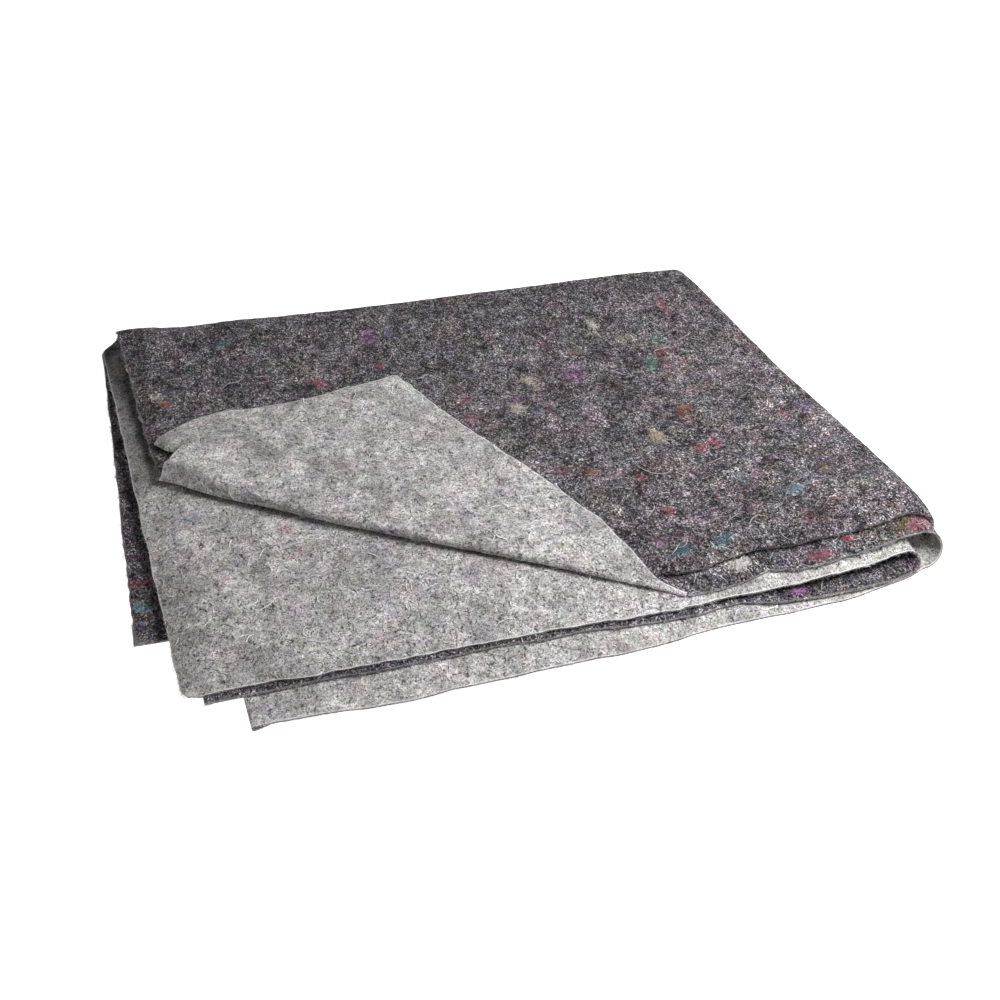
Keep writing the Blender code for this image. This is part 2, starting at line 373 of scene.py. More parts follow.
@dataclass
class FoldedSheet:
    """The felt: folded in half along its length, then back and forth in four panels.

    The layers are numbered from the top, 1 to 8.  Layer 1 has its front left corner rolled
    back over itself.  Sizes are the real cloth's, in metres.
    """

    # The cloth and how its layers lie: shown is its drawn thickness, thickness the solid's
    length: float = 2.5
    width: float = 1.0
    thickness: float = 0.0024
    shown: float = 0.0018
    gap: float = 0.0008
    panels: int = 4
    fold_allowance: float = 0.100
    sag_reach: float = 0.060
    right_margin: float = 0.060
    fold_fullness: float = 1.1
    back_drift: float = 4.0

    layers: tuple[Layer, ...] = (
        Layer((0.028, -0.018), (0.008, 0.013), (-0.028, -0.006), (-0.038, -0.010), 0.000),
        Layer((0.000, -0.010), (-0.010, 0.006), (-0.045, -0.002), (-0.044, -0.008), -0.003),
        Layer((0.021, -0.011), (-0.010, -0.014), (-0.022, -0.030), (-0.044, -0.026), 0.000),
        Layer((0.049, -0.046), (0.006, 0.001), (0.008, -0.030), (-0.038, -0.026), -0.011),
        Layer((0.049, -0.046), (0.000, 0.062), (0.008, -0.030), (-0.030, -0.010), 0.006),
        Layer((0.021, -0.011), (-0.006, 0.064), (-0.022, -0.030), (-0.034, -0.012), 0.006),
        Layer((-0.032, 0.062), (-0.006, 0.066), (-0.046, 0.006), (-0.034, -0.012), 0.000),
        Layer((-0.031, 0.066), (0.000, 0.064), (-0.047, 0.006), (-0.030, -0.010), 0.000),
    )
    first_half: tuple[int, ...] = (1, 4, 5, 8)
    second_half: tuple[int, ...] = (2, 3, 6, 7)
    puffs: tuple[Puff, ...] = (
        Puff(1, -0.030, 0.510, 0.050, 0.120, 0.011),
        Puff(1, 0.085, 0.510, 0.060, 0.100, 0.004),
        Puff(1, 0.300, 0.510, 0.600, 0.090, 0.008),
        Puff(1, 0.470, 0.500, 0.080, 0.080, 0.002),
        Puff(1, 0.000, 0.250, 0.140, 0.100, 0.003),
        Puff(1, 0.620, 0.020, 0.130, 0.090, 0.004),
        Puff(1, 0.625, 0.065, 0.060, 0.055, 0.005),
        Puff(2, 0.620, 0.050, 0.150, 0.110, 0.011),
        Puff(2, 0.610, 0.230, 0.120, 0.120, 0.006),
        Puff(3, 0.620, 0.000, 0.150, 0.100, 0.003),
    )

    # The one corner that is rounded
    rounded_layer: int = 2
    rounded_cut: float = 0.004
    rounded_reach: float = 0.014

    # How far the right end stands out, at shares of the way back
    right_end_back: tuple[float, ...] = (0.00, 0.03, 0.09, 0.14, 0.20, 0.25, 0.32,
                                         0.38, 0.45, 0.60, 0.80, 0.90, 1.00)
    right_end_out: tuple[float, ...] = (-0.0020, -0.0065, -0.0065, -0.0030, 0.0024, 0.0058, 0.0076,
                                        0.0064, 0.0046, 0.0034, 0.0038, 0.0000, -0.0040)
    right_end_from: float = 0.78
    upper_layers: int = 4

    # Free front edges, and the pleat (tuck) behind the top one
    edge_fade: float = 0.045
    edge_rest: float = 0.045 / 4
    edge_droop: float = 0.0007
    tuck_width: float = 0.0045
    tuck_rise: float = 0.0050
    tuck_lean: float = 0.0075
    tuck_relax: float = 0.020
    tuck_fall: float = 0.060
    tuck_groove: float = 0.0010
    tuck_groove_reach: float = 0.004
    tuck_start: float = 0.57
    tuck_full: float = 0.66

    # The peeled corner: its line, its roll with a ridge at the left, its flap and tongue
    peel_left: float = 0.523
    peel_front: float = 0.640
    peel_bow: float = 0.010
    peel_end: float = 0.004
    roll_length: float = 0.470
    roll_along: tuple[float, ...] = (0.000, 0.050, 0.120, 0.300, 0.435, 0.470)
    roll_radii: tuple[float, ...] = (0.0085, 0.0074, 0.0048, 0.0030, 0.0012, 0.0004)
    roll_steps: int = 16
    ridge_length: float = 0.130
    ridge_fade: float = 0.065
    end_bulge: float = 0.20
    end_reach: float = 0.050
    ridge_power: float = 0.62
    ridge_lean: float = 0.45
    edge_slant: float = 0.010
    slant_fade: float = 0.12
    settle_reach: float = 0.110
    flap_along: tuple[float, ...] = (0.000, 0.033, 0.086, 0.138, 0.225, 0.305, 0.366, 0.382, 0.404,
                                     0.425, 0.436, 0.447, 0.470)
    flap_reach: tuple[float, ...] = (0.100, 0.118, 0.159, 0.215, 0.156, 0.109, 0.067, 0.057, 0.036,
                                     0.019, 0.0085, 0.0020, 0.0008)
    flap_narrow: float = 0.02
    flap_rows: int = 25
    notch_row: int = 5
    tongue_along: tuple[float, ...] = (0.010, -0.008, -0.024)
    tongue_low: tuple[float, ...] = (0.0282, 0.0310, 0.0385)
    tongue_high: tuple[float, ...] = (0.1055, 0.086, 0.048)
    tongue_lift: tuple[float, ...] = (1.0, 0.55, 0.20)
    tongue_dip: float = 0.70
    tongue_dip_share: float = 0.16
    tongue_steps: int = 9

    # Density of the grid, then the unevenness of edges and faces
    columns: tuple[int, ...] = (165, 35, 35, 19)
    front_rows: int = 7
    tuck_rows: int = 24
    tuck_band: tuple[float, float] = (0.028, 0.060)
    open_rows: int = 34
    second_rows: int = 50
    fold_steps: int = 13
    back_steps: int = 10
    wobble: float = 0.0009
    wobble_waves: tuple[float, float] = (0.070, 0.007)
    wobble_depth: float = 0.006
    relief: float = 0.0007
    relief_waves: tuple[float, float] = (0.22, 0.06)
    grain_relief: float = 0.00022
    grain_waves: tuple[float, float] = (0.030, 0.012)
    relief_height: float = 0.02

    dye_spread: float = 1.15

    @property
    def pitch(self) -> float:
        """Height from one layer to the next."""
        return self.thickness + self.gap

    @property
    def panel_width(self) -> float:
        """Width of a panel, from its length less what the three folds take."""
        return (self.length - self.fold_allowance) / self.panels

    @property
    def panel_depth(self) -> float:
        """Depth of a panel: half the cloth's width."""
        return self.width / 2.0

    @cached_property
    def origin(self) -> Array:
        """Place of the nominal panel's front left corner in the frame.

        The model's box ends at layer 8's back left corner and at layer 4's front left corner.

        Returns:
            x, y and z.
        """
        low = np.array(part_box("dust_sheet")[0])
        corner = (self.layers[7].back_left[0], self.layers[3].front_left[1], 0.0)
        return np.array((low[0], low[1], 0.0)) - np.array(corner)

    def corners(self, number: int) -> Array:
        """Plan corners of a layer: the nominal panel's with the layer's own steps.

        Args:
            number: the layer.
        Returns:
            Front left, front right, back left and back right.
        """
        layer = self.layers[number - 1]
        wide, deep = self.panel_width, self.panel_depth
        nominal = ((0.0, 0.0), (wide, 0.0), (0.0, deep), (wide, deep))
        steps = (layer.front_left, layer.front_right, layer.back_left, layer.back_right)
        return np.array(nominal) + np.array(steps)

    def plan(self, number: int, u: Array, v: Array) -> Array:
        """Plan position on a layer: its four corners blended, with the front edge bowed.

        Args:
            number: the layer.
            u: place across, 0 at the left and 1 at the right.
            v: place back, 0 at the front and 1 at the back fold.
        Returns:
            (x, y) for each place.
        """
        u, v = np.broadcast_arrays(np.asarray(u, float), np.asarray(v, float))
        front_left, front_right, back_left, back_right = self.corners(number)
        front = front_left + (front_right - front_left) * u[..., None]
        back = back_left + (back_right - back_left) * u[..., None]
        point = front + (back - front) * v[..., None]
        point[..., 1] += self.layers[number - 1].bow * 4.0 * u * (1.0 - u) * (1.0 - v) ** 2
        if number == self.rounded_layer:
            near = np.exp(-(u ** 2 + v ** 2) / self.rounded_reach ** 2)
            point += self.rounded_cut * near[..., None]
        return point

    def cover(self, number: int, x: Array, y: Array) -> Array:
        """How much of a layer's thickness lies below a place.

        It is 1 over the layer's own area and eases to 0 as the cloth above sags past its edges: a
        product of smooth steps of the distance inside each side.

        Args:
            number: the layer.
            x: plan places.
            y: plan places.
        Returns:
            Shares from 0 to 1.
        """
        front_left, front_right, back_left, back_right = self.corners(number)
        margin = np.array((self.right_margin, 0.0))
        loop = (front_left, front_right + margin, back_right + margin, back_left)
        total = np.ones_like(x)
        for start, end in zip(loop, loop[1:] + loop[:1]):
            along = (end - start) / np.linalg.norm(end - start)
            inside = along[0] * (y - start[1]) - along[1] * (x - start[0])
            total = total * smoothstep(1.0 + inside / self.sag_reach)
        return total

    def height(self, number: int, x: Array, y: Array) -> Array:
        """Height of a layer's middle: the layers below, the humps and a gentle unevenness.

        Args:
            number: the layer.
            x: plan places.
            y: plan places.
        Returns:
            Heights over the floor.
        """
        z = np.full_like(x, self.shown / 2)
        for below in range(number + 1, len(self.layers) + 1):
            z = z + self.pitch * self.cover(below, x, y)
        for puff in self.puffs:
            if number <= puff.layer:
                z = z + (puff.height * bell(x - puff.x, puff.reach_x)
                         * bell(y - puff.y, puff.reach_y))
        free = smoothstep((z - self.thickness) / self.relief_height)
        large = self.relief * waves(x, y, 3, *self.relief_waves)
        small = self.grain_relief * waves(x, y, 4, *self.grain_waves)
        return z + free * (large + small)

    def edge_wobble(self, number: int, place: Array, side: int) -> Array:
        """How far a cut edge strays from its line, at places along it."""
        return self.wobble * waves(place, 0.0 * place, 40 + 2 * number + side, *self.wobble_waves)

    def tuck(self, u: Array, v: Array) -> tuple[Array, Array]:
        """The pleat behind layer 1's front edge: a step up whose lip hangs over forwards.

        With d the distance behind the crease, the height is a smooth step over the pleat's
        width that dies away behind it, less a groove just before it, and the lean is the
        same step that dies away sooner.

        Args:
            u: place across.
            v: place back.
        Returns:
            Extra height, and how far the cloth leans to the front.
        """
        strength = smoothstep((u - self.tuck_start) / (self.tuck_full - self.tuck_start))
        crease = np.interp(u, [step.u for step in TUCK_LINE], [step.v for step in TUCK_LINE])
        behind = (v - crease) * self.panel_depth
        step = smoothstep(behind / self.tuck_width)
        past = np.clip(behind - self.tuck_width, 0.0, None)
        groove = self.tuck_groove * bell(behind, self.tuck_groove_reach)
        rise = self.tuck_rise * step * np.exp(-past / self.tuck_fall) - groove
        lean = self.tuck_lean * step * np.exp(-past / self.tuck_relax)
        return strength * rise, strength * lean

    def on_layer(self, number: int, u: Array, v: Array) -> Array:
        """Points in space on a layer, with its uneven cut edges, tuck and curls.

        Args:
            number: the layer.
            u: place across.
            v: place back.
        Returns:
            (x, y, z) for each place, in the nominal panel's frame.
        """
        u, v = np.broadcast_arrays(np.asarray(u, float), np.asarray(v, float))
        point = self.plan(number, u, v)
        x, y = point[..., 0], point[..., 1]
        z = self.height(number, x, y)
        near_front = np.exp(-v * self.panel_depth / self.wobble_depth)
        near_left = np.exp(-u * self.panel_width / self.wobble_depth)
        y = y + near_front * self.edge_wobble(number, x, 0)
        if number in (1, 2, 7, 8):
            x = x + near_left * self.edge_wobble(number, y, 1)
        if number in FRONT_EDGES:
            knots = [step.u for step in FRONT_EDGES[number]]
            fade = np.exp(-v * self.panel_depth / self.edge_fade)
            y = y + fade * np.interp(u, knots, [step.back for step in FRONT_EDGES[number]])
            near = bell(v * self.panel_depth, self.edge_rest)
            lift = np.interp(u, knots, [step.lift for step in FRONT_EDGES[number]])
            z = z + near * (lift - self.edge_droop * (self.upper_layers - number))
        if number <= self.upper_layers:
            near_right = smoothstep((u - self.right_end_from) / (1.0 - self.right_end_from))
            x = x + near_right * np.interp(v, self.right_end_back, self.right_end_out)
        if number == 1:
            rise, lean = self.tuck(u, v)
            z = z + rise
            y = y - lean
        return np.stack([x, y, z], axis=-1)

    @cached_property
    def peel(self) -> tuple[Array, Array, Array]:
        """The line on which layer 1 leaves the pack, from its left edge to its front edge.

        Returns:
            Its start, its direction and the direction behind it.
        """
        start = self.plan(1, 0.0, self.peel_left)
        end = self.plan(1, self.peel_front, 0.0)
        along = (end - start) / np.linalg.norm(end - start)
        return start, along, np.array((-along[1], along[0]))

    def peel_cut(self, u: Array) -> Array:
        """Depth at which the bowed peel line crosses layer 1's lines.

        The line is straight but for a bow of 4s(1 − s) with s the share of the roll's length.

        Args:
            u: places across.
        Returns:
            Place back for each, or 0 right of the line's end.
        """
        start, along, back = self.peel
        front_side = (self.plan(1, u, 0.0) - start) @ back
        back_side = (self.plan(1, u, 1.0) - start) @ back
        cut = front_side / (front_side - back_side)
        share = (self.plan(1, u, cut) - start) @ along / self.roll_length
        bowed = cut - self.peel_bow / self.panel_depth * 4.0 * share * (1.0 - share)
        return np.where(front_side < 0.0, np.clip(bowed, 0.0, None), 0.0)

    @cached_property
    def first_rows(self) -> Array:
        """Places of the rows of layers 1, 4, 5 and 8, which are close together at the tuck.

        Behind the tuck they follow 3t/10 + 7t²/10, so that they widen towards the back.

        Returns:
            Places back, from 0 to 1.
        """
        low, high = self.tuck_band
        front = np.linspace(0.0, low, self.front_rows, endpoint=False)
        band = np.linspace(low, high, self.tuck_rows, endpoint=False)
        t = np.linspace(0.0, 1.0, self.open_rows)
        return np.concatenate([front, band, high + (1.0 - high) * (0.3 * t + 0.7 * t * t)])

    @cached_property
    def last_rows(self) -> Array:
        """Places of the rows of layers 2, 3, 6 and 7: t/4 + 3t²/4, close at the front."""
        t = np.linspace(0.0, 1.0, self.second_rows)
        return 0.25 * t + 0.75 * t * t

    def layer_grid(self, number: int, u: Array) -> Array:
        """Points of one layer, a line for each place across, from front to back.

        Args:
            number: the layer.
            u: places across.
        Returns:
            Points in the nominal panel's frame.
        """
        cut = self.peel_cut(u)[:, None] if number == 1 else np.zeros((len(u), 1))
        places = self.first_rows if number in self.first_half else self.last_rows
        rows = cut + (1.0 - cut) * places[None, :]
        return self.on_layer(number, np.broadcast_to(u[:, None], rows.shape), rows)

    def bend(self, first: Array, last: Array, outward: tuple[float, ...], steps: int,
             fullness: float, drift: float = 1.0) -> Array:
        """Lines between two lines, on half an ellipse that swells outwards.

        A point is first + (last − first)·(1 − cos a)/2 + outward·r·sin a, with r half the
        distance in Y and Z and a from 0 to π.  drift above 1 keeps X near the first for longer.

        Args:
            first: points of the first line.
            last: points of the last line.
            outward: unit vector that the fold swells along.
            steps: number of steps round the fold.
            fullness: swell as a share of a true half circle.
            drift: power on the share of X.
        Returns:
            The lines strictly between the two.
        """
        angle = math.pi * np.arange(1, steps) / steps
        share = (1.0 - np.cos(angle)) / 2.0
        shares = np.stack([share ** drift, share, share], axis=-1)[:, None, :]
        swell = np.linalg.norm((first - last)[..., 1:], axis=-1)[None, :, None] / 2.0 * fullness
        round_out = np.array(outward) * swell * np.sin(angle)[:, None, None]
        return first + (last - first) * shares + round_out

    def half_lines(self, numbers: Sequence[int]) -> Array:
        """Lines of one half of the cloth, panel by panel, with the folds between them.

        Args:
            numbers: the half's layers in the order of the panels.
        Returns:
            Points, a line for each place along the cloth.
        """
        lines: list[Array] = []
        for panel, number in enumerate(numbers):
            u = np.linspace(0.0, 1.0, self.columns[panel])
            rightwards = panel % 2 == 0
            grid = self.layer_grid(number, u if rightwards else u[::-1])
            if lines:
                outward = (-1.0, 0.0, 0.0) if rightwards else (1.0, 0.0, 0.0)
                lines.append(self.bend(lines[-1][-1], grid[0], outward, self.fold_steps,
                                       self.fold_fullness))
            lines.append(grid)
        return np.concatenate(lines)

    def body_patch(self) -> Patch:
        """The whole cloth but the flap: both halves, joined round the back fold.

        Returns:
            The patch, in the frame.
        """
        first = self.half_lines(self.first_half)
        second = self.half_lines(self.second_half)
        turn = self.bend(first[:, -1], second[:, -1], (0.0, 1.0, 0.0), self.back_steps, 1.0,
                         self.back_drift)
        points = np.concatenate([first, turn.transpose(1, 0, 2), second[:, ::-1]], axis=1)
        return Patch(points + self.origin)

    def roll_radius(self, along: Array) -> Array:
        """Radius of the roll, which tapers from the left edge to the front edge."""
        return np.interp(along, self.roll_along, self.roll_radii)

    def over_layer(self, along: Array, back: Array, lift: Array) -> Array:
        """Points of the flap: over layer 1, higher near the roll and settling behind it.

        Args:
            along: distance along the roll from the left edge.
            back: distance back from the peel line.
            lift: share of the roll's height that is kept near it.
        Returns:
            (x, y, z) for each place.
        """
        start, direction, behind = self.peel
        place = start + along[..., None] * direction + back[..., None] * behind
        drop = 1.0 - smoothstep(back / self.settle_reach)
        spare = 2.0 * self.roll_radius(along) - self.pitch
        z = self.height(1, place[..., 0], place[..., 1]) + self.pitch + lift * spare * drop
        return np.concatenate([place, z[..., None]], axis=-1)

    def lint_places(self, body: Patch) -> list[PlacedLint]:
        """Find the place of each tuft and each patch of painted shade on the body's grid, on the
        layer and face that carry it.

        Args:
            body: the cloth's main patch.
        Returns:
            The tufts with their places.
        """
        front = slice(0, len(self.first_rows))
        back = slice(len(self.first_rows) + self.back_steps - 1, body.points.shape[1])
        top = slice(0, self.columns[0])
        lower = slice(self.columns[0] + self.fold_steps - 1,
                      self.columns[0] + self.fold_steps - 1 + self.columns[1])
        loop = slice(self.columns[0], self.columns[0] + self.fold_steps // 2)
        last = slice(len(body.points) - self.columns[3], len(body.points))
        where = ((TOP_LINT, top, front, Face.DARK), (THIRD_LINT, lower, back, Face.DARK),
                 (SECOND_LINT_AND_SHADOW, top, back, Face.PALE), (SEVENTH_LINT, last, back, Face.DARK),
                 (LOOP_PAINTED_SHADE, loop, front, Face.PALE))
        placed = []
        for tufts, lines, points, face in where:
            for tuft in tufts:
                place = (tuft.x + self.origin[0], tuft.y + self.origin[1])
                i, j = body.find(place, lines, points)
                placed.append(PlacedLint(tuft, face, i, j))
        return placed

    def lint_and_shade_tint(self, body: Patch, face: Face) -> Array:
        """Colour of the listed tufts and patches of painted shade at each point: rgb and, as alpha,
        how strong it is.

        A tuft's strength is its cover times bells of the distance over its spread half sizes,
        and the strongest tuft gives its dye.

        Args:
            body: the cloth's main patch.
            face: the face that is dyed.
        Returns:
            Four values for each point of the grid.
        """
        tint = np.zeros(body.points.shape[:2] + (4,))
        for placed in self.lint_places(body):
            if placed.face is not face:
                continue
            tuft = placed.lint
            centre = body.points[int(placed.i), int(placed.j)]
            away = body.points - centre
            turn = math.radians(tuft.turn)
            along = away[..., 0] * math.cos(turn) + away[..., 1] * math.sin(turn)
            across = away[..., 1] * math.cos(turn) - away[..., 0] * math.sin(turn)
            near = (bell(along, tuft.long * self.dye_spread)
                    * bell(across, tuft.wide * self.dye_spread))
            strength = tuft.cover * near * bell(away[..., 2], tuft.deep)
            over = strength > tint[..., 3]
            tint[over, :3] = linear(tuft.dye.value)[:3]
            tint[..., 3] = np.maximum(tint[..., 3], strength)
        return tint

    def flap_lines(self) -> Array:
        """Points of the flap: round the roll, then back to the free edge.

        At the angle a from its foot the roll lies r·sin(a)^p in front and r·(1 − cos(a)^p)
        up.  The power p is 1 for a round roll, and less at the left end, which has a flat
        front and a ridge; there it leans back as well.

        Returns:
            A line for each column that the roll crosses, from the peel line to the free edge.
        """
        u = np.linspace(0.0, 1.0, self.columns[0])
        u = u[u <= self.peel_front - self.peel_end]
        start, direction, behind = self.peel
        foot = self.on_layer(1, u, self.peel_cut(u))
        along = (foot[:, :2] - start) @ direction
        radius = self.roll_radius(along)
        slant = self.edge_slant * np.clip(1.0 - u / self.slant_fade, 0.0, None)

        share = np.arange(0, self.roll_steps + 1) / self.roll_steps
        ridged = smoothstep((self.ridge_length - along) / self.ridge_fade)[:, None]
        bulge = 1.0 - (1.0 - self.end_bulge) * smoothstep(1.0 - along / self.end_reach)[:, None]
        power = 1.0 - self.ridge_power * ridged
        sine, cosine = np.abs(np.sin(math.pi * share)), np.cos(math.pi * share)
        rise = radius[:, None] * (1.0 - np.sign(cosine) * np.abs(cosine) ** power)
        back = self.ridge_lean * ridged * rise - bulge * radius[:, None] * sine ** power
        plan = (foot[:, None, :2] + behind * back[..., None]
                + direction * (slant[:, None] * share)[..., None])
        z = foot[:, 2:] + rise
        roll = np.concatenate([plan, z[..., None]], axis=-1)

        along = along + slant
        reach = np.interp(along, self.flap_along, self.flap_reach)
        wobble = self.edge_wobble(1, along, 0) * np.clip(reach / self.flap_narrow, 0.0, 1.0)
        reach = reach + wobble
        shares = np.arange(1, self.flap_rows + 1) / self.flap_rows
        back = back[:, -1:] + (reach[:, None] - back[:, -1:]) * shares
        sheet = self.over_layer(np.broadcast_to(along[:, None], back.shape), back, np.array(1.0))
        sunk = foot[:, 2] - self.height(1, foot[:, 0], foot[:, 1])
        sheet[..., 2] += sunk[:, None] * bell(back, self.edge_rest)
        return np.concatenate([roll, sheet], axis=1)

    def flap_patch(self, lines: Array) -> Patch:
        """The flap's grid, from its free edge to the peel line."""
        return Patch(lines[:, ::-1] + self.origin)

    def tongue_patch(self, lines: Array) -> Patch:
        """The small tongue left of the flap, which starts at the notch in its left edge.

        Its columns step to the left, each between a low and a high reach behind the peel line,
        and its front end curves down to layer 1.

        Args:
            lines: the flap's points, whose first line the tongue grows from.
        Returns:
            The tongue's patch, in the frame.
        """
        root = lines[0, self.roll_steps + self.notch_row:]
        count = len(root)
        place = np.linspace(0.0, 2.0, self.tongue_steps + 1)[1:]
        knots = np.arange(3.0)
        along = np.interp(place, knots, self.tongue_along)
        low = np.interp(place, knots, self.tongue_low)
        high = np.interp(place, knots, self.tongue_high)
        lift = np.interp(place, knots, self.tongue_lift)
        row = np.linspace(0.0, 1.0, count)
        reach = low[:, None] + (high - low)[:, None] * row
        curve = lift[:, None] * (1.0 - self.tongue_dip * np.exp(-row / self.tongue_dip_share))
        columns = self.over_layer(np.broadcast_to(along[:, None], reach.shape), reach, curve)
        return Patch(np.concatenate([root[None], columns]) + self.origin)


@dataclass
class Tree:
    """A material's node tree, with one way of adding a node to it."""

    material: bpy.types.Material

    def add(self, kind: str, out: int = 0, stops: Sequence[tuple[float, str]] = (),
            **given: Any) -> Any:
        """Add a node with its settings and links.

        Args:
            kind: the node's Blender type, without its ShaderNode prefix.
            out: number of the output that is given back.
            stops: places and hex colours, in order, where the node is a colour ramp.
            given: settings of the node, and a value or a socket for each input.  An input is
                named with a capital and underscores, or as in0, in1 by its number.
        Returns:
            The output socket.
        """
        tree = self.material.node_tree
        node = tree.nodes.new("ShaderNode" + kind)
        for name, value in given.items():
            number = name.removeprefix("in")
            if name[0].islower() and not number.isdigit():
                setattr(node, name, value)
                continue
            socket = node.inputs[int(number) if number.isdigit() else name.replace("_", " ")]
            if isinstance(value, bpy.types.NodeSocket):
                tree.links.new(value, socket)
            else:
                socket.default_value = value
        for number, (place, code) in enumerate(stops):
            elements = node.color_ramp.elements
            element = elements[number] if number < 2 else elements.new(place)
            element.position = place
            element.color = linear(code)
        return node.outputs[out]


@dataclass(frozen=True)
class FeltFace:
    """Needled felt of shredded mixed textile fibres, seen on one face.

    The grains are the tangled fibre ends that the eye sees as salt and pepper.  Clumps,
    combed streaks and wide clouds shade them, pale and dark threads cross them, and some
    clumps keep the colour of the garment they came from.  Listed dark patches paint shade in
    a hollow and shadow beside a raised edge, and a lighter line along the cut edges is a
    painted highlight.  The gains say how strongly a pattern shades the felt, and the shares
    how much of it a pattern covers.
    """

    name: str
    grains: tuple[tuple[float, str], ...]
    brightness: float
    grain_size: float
    coarse_gain: float
    clump_gain: float
    streak_gain: float
    cloud_gain: float
    hue_gain: tuple[float, float, float]
    pale_thread: str
    dark_thread: str
    lint: tuple[tuple[float, str], ...]
    lint_edge: tuple[float, float]
    lint_strength: float
    fleck_share: float
    speck_share: float
    pit_share: float
    pale_share: float
    dark_share: float
    tint: str
    # Colour and strength of the painted highlight along the cut edges
    edge_highlight: str
    edge_highlight_strength: float
    drawn_back: float = 0.74
    stir: float = 1.3 * MM
    stir_size: float = 2.6 * MM
    sway: float = 9.0 * MM
    streak_size: tuple[float, float] = (12.0 * MM, 1.5 * MM)
    clump_size: float = 10.0 * MM
    cloud_size: float = 32.0 * MM
    hue_size: float = 22.0 * MM
    thread_size: float = 7.0 * MM
    speck_pitch: float = 3.4 * MM
    fleck_pitch: float = 9.0 * MM
    lint_size: float = 15.0 * MM
    lint_pitch: float = 21.0 * MM
    # Width of the painted highlight along the cut edges
    edge_highlight_width: float = 1.7 * MM
    bump_height: float = 1.2 * MM
    bump_strength: float = 0.9
    darkest: float = 0.12
    salt: float = 0.9
    comb_turns: tuple[float, float] = (0.10, -0.95)
    fleck_cover: float = 0.60
    tuft_and_shade_cover: float = 0.70
    pit_cover: float = 0.80
    dark_cover: float = 0.85
    pale_cover: float = 0.55
    speck_cover: float = 0.85
    roughness: float = 0.95
    specular: float = 0.12
    sheen: float = 0.06
    sheen_roughness: float = 0.5
    torn: float = 2.6
    torn_edge: tuple[float, float] = (0.05, 0.85)
    torn_reach: tuple[float, float] = (0.02, 0.20)
    clump_rise: float = 1.3

    def thread_mask(self, tree: Tree, place: Any, width: float, share: float, offset: float) -> Any:
        """Thin broken lines: where a noise is close to its middle, cut up by another noise.

        Args:
            tree: the material's nodes.
            place: the place that the pattern reads.
            width: how far from its middle the first noise still counts as thread.
            share: how much of the line is left.
            offset: shift that makes one set of threads differ from the next.
        Returns:
            1 on a thread, else 0.
        """
        moved = tree.add("VectorMath", operation="ADD", in0=place,
                         in1=(offset, 2 * offset, -offset))
        level = tree.add("TexNoise", Vector=moved, Scale=1.0 / self.thread_size, Detail=1.0,
                         Distortion=0.6)
        above = tree.add("Math", operation="SUBTRACT", in0=level, in1=0.5)
        away = tree.add("Math", operation="ABSOLUTE", in0=above)
        line = tree.add("MapRange", Value=away, From_Min=width * 0.35, From_Max=width, To_Min=1.0,
                        To_Max=0.0)
        cut = tree.add("TexNoise", Vector=moved, Scale=1.1 / self.thread_size, Detail=2.0)
        left = tree.add("MapRange", Value=cut, From_Min=0.60 - share, From_Max=0.66 - share)
        return tree.add("Math", operation="MULTIPLY", in0=line, in1=left)

    def combed(self, tree: Tree, place: Any, turn: float) -> Any:
        """A noise drawn out along one direction, as the card leaves the fibre.

        Args:
            tree: the material's nodes.
            place: the place that the pattern reads.
            turn: the direction's angle from the panels.
        Returns:
            Values round 0.5.
        """
        long, short = self.streak_size
        drawn = tree.add("Mapping", Vector=place, Rotation=(0.0, 0.0, turn),
                         Scale=(1.0 / long, 1.0 / short, 1.0 / short))
        return tree.add("TexNoise", Vector=drawn, Scale=1.0, Detail=3.0, Roughness=0.6)

    def shade(self, tree: Tree, tone: Any, pattern: Any, gain: float) -> Any:
        """Shade a tone by a pattern: tone times 1 + gain times the pattern less a half.

        Args:
            tree: the material's nodes.
            tone: a value or a colour's brightness so far.
            pattern: values round 0.5.
            gain: strength of the shading.
        Returns:
            The new tone.
        """
        factor = tree.add("Math", operation="MULTIPLY_ADD", in0=pattern, in1=gain,
                          in2=1.0 - gain / 2)
        return tree.add("Math", operation="MULTIPLY", in0=tone, in1=factor)

    def spots(self, tree: Tree, place: Any, pitch: float, share: float, near: float,
              far: float) -> tuple[Any, Any]:
        """Scattered small spots: the middles of some of a Voronoi pattern's cells.

        Args:
            tree: the material's nodes.
            place: the place that the pattern reads.
            pitch: distance between cells.
            share: how many of the cells have a spot.
            near: distance at which a spot starts to fade, as a share of the pitch.
            far: distance at which it has gone.
        Returns:
            1 in a spot, else 0, and the cells' random numbers.
        """
        away = tree.add("TexVoronoi", Vector=place, Scale=1.0 / pitch)
        draw = tree.add("SeparateColor", Color=away.node.outputs["Color"])
        spot = tree.add("MapRange", Value=away, From_Min=near, From_Max=far, To_Min=1.0, To_Max=0.0)
        chosen = tree.add("Math", operation="LESS_THAN", in0=draw, in1=share)
        spots = tree.add("Math", operation="MULTIPLY", in0=spot, in1=chosen)
        return spots, draw.node.outputs["Green"]

    def cover(self, tree: Tree, colour: Any, over: Any, mask: Any, strength: float) -> Any:
        """Lay a colour over another where a mask is high.

        Args:
            tree: the material's nodes.
            colour: the colour so far.
            over: the colour that is laid on it.
            mask: where it lies, from 0 to 1.
            strength: how much it hides at most.
        Returns:
            The new colour.
        """
        share = tree.add("Math", operation="MULTIPLY", use_clamp=True, in0=mask, in1=strength)
        return tree.add("Mix", 2, data_type="RGBA", in0=share, in6=colour, in7=over)

    def build(self) -> bpy.types.Material:
        """Make the material: first its tone, then its dyes, then what lies on it.

        Returns:
            The material.
        """
        material, shader = new_material(
            self.name, Roughness=self.roughness, Specular_IOR_Level=self.specular,
            Sheen_Weight=self.sheen, Sheen_Roughness=self.sheen_roughness)
        tree = Tree(material)
        add = tree.add

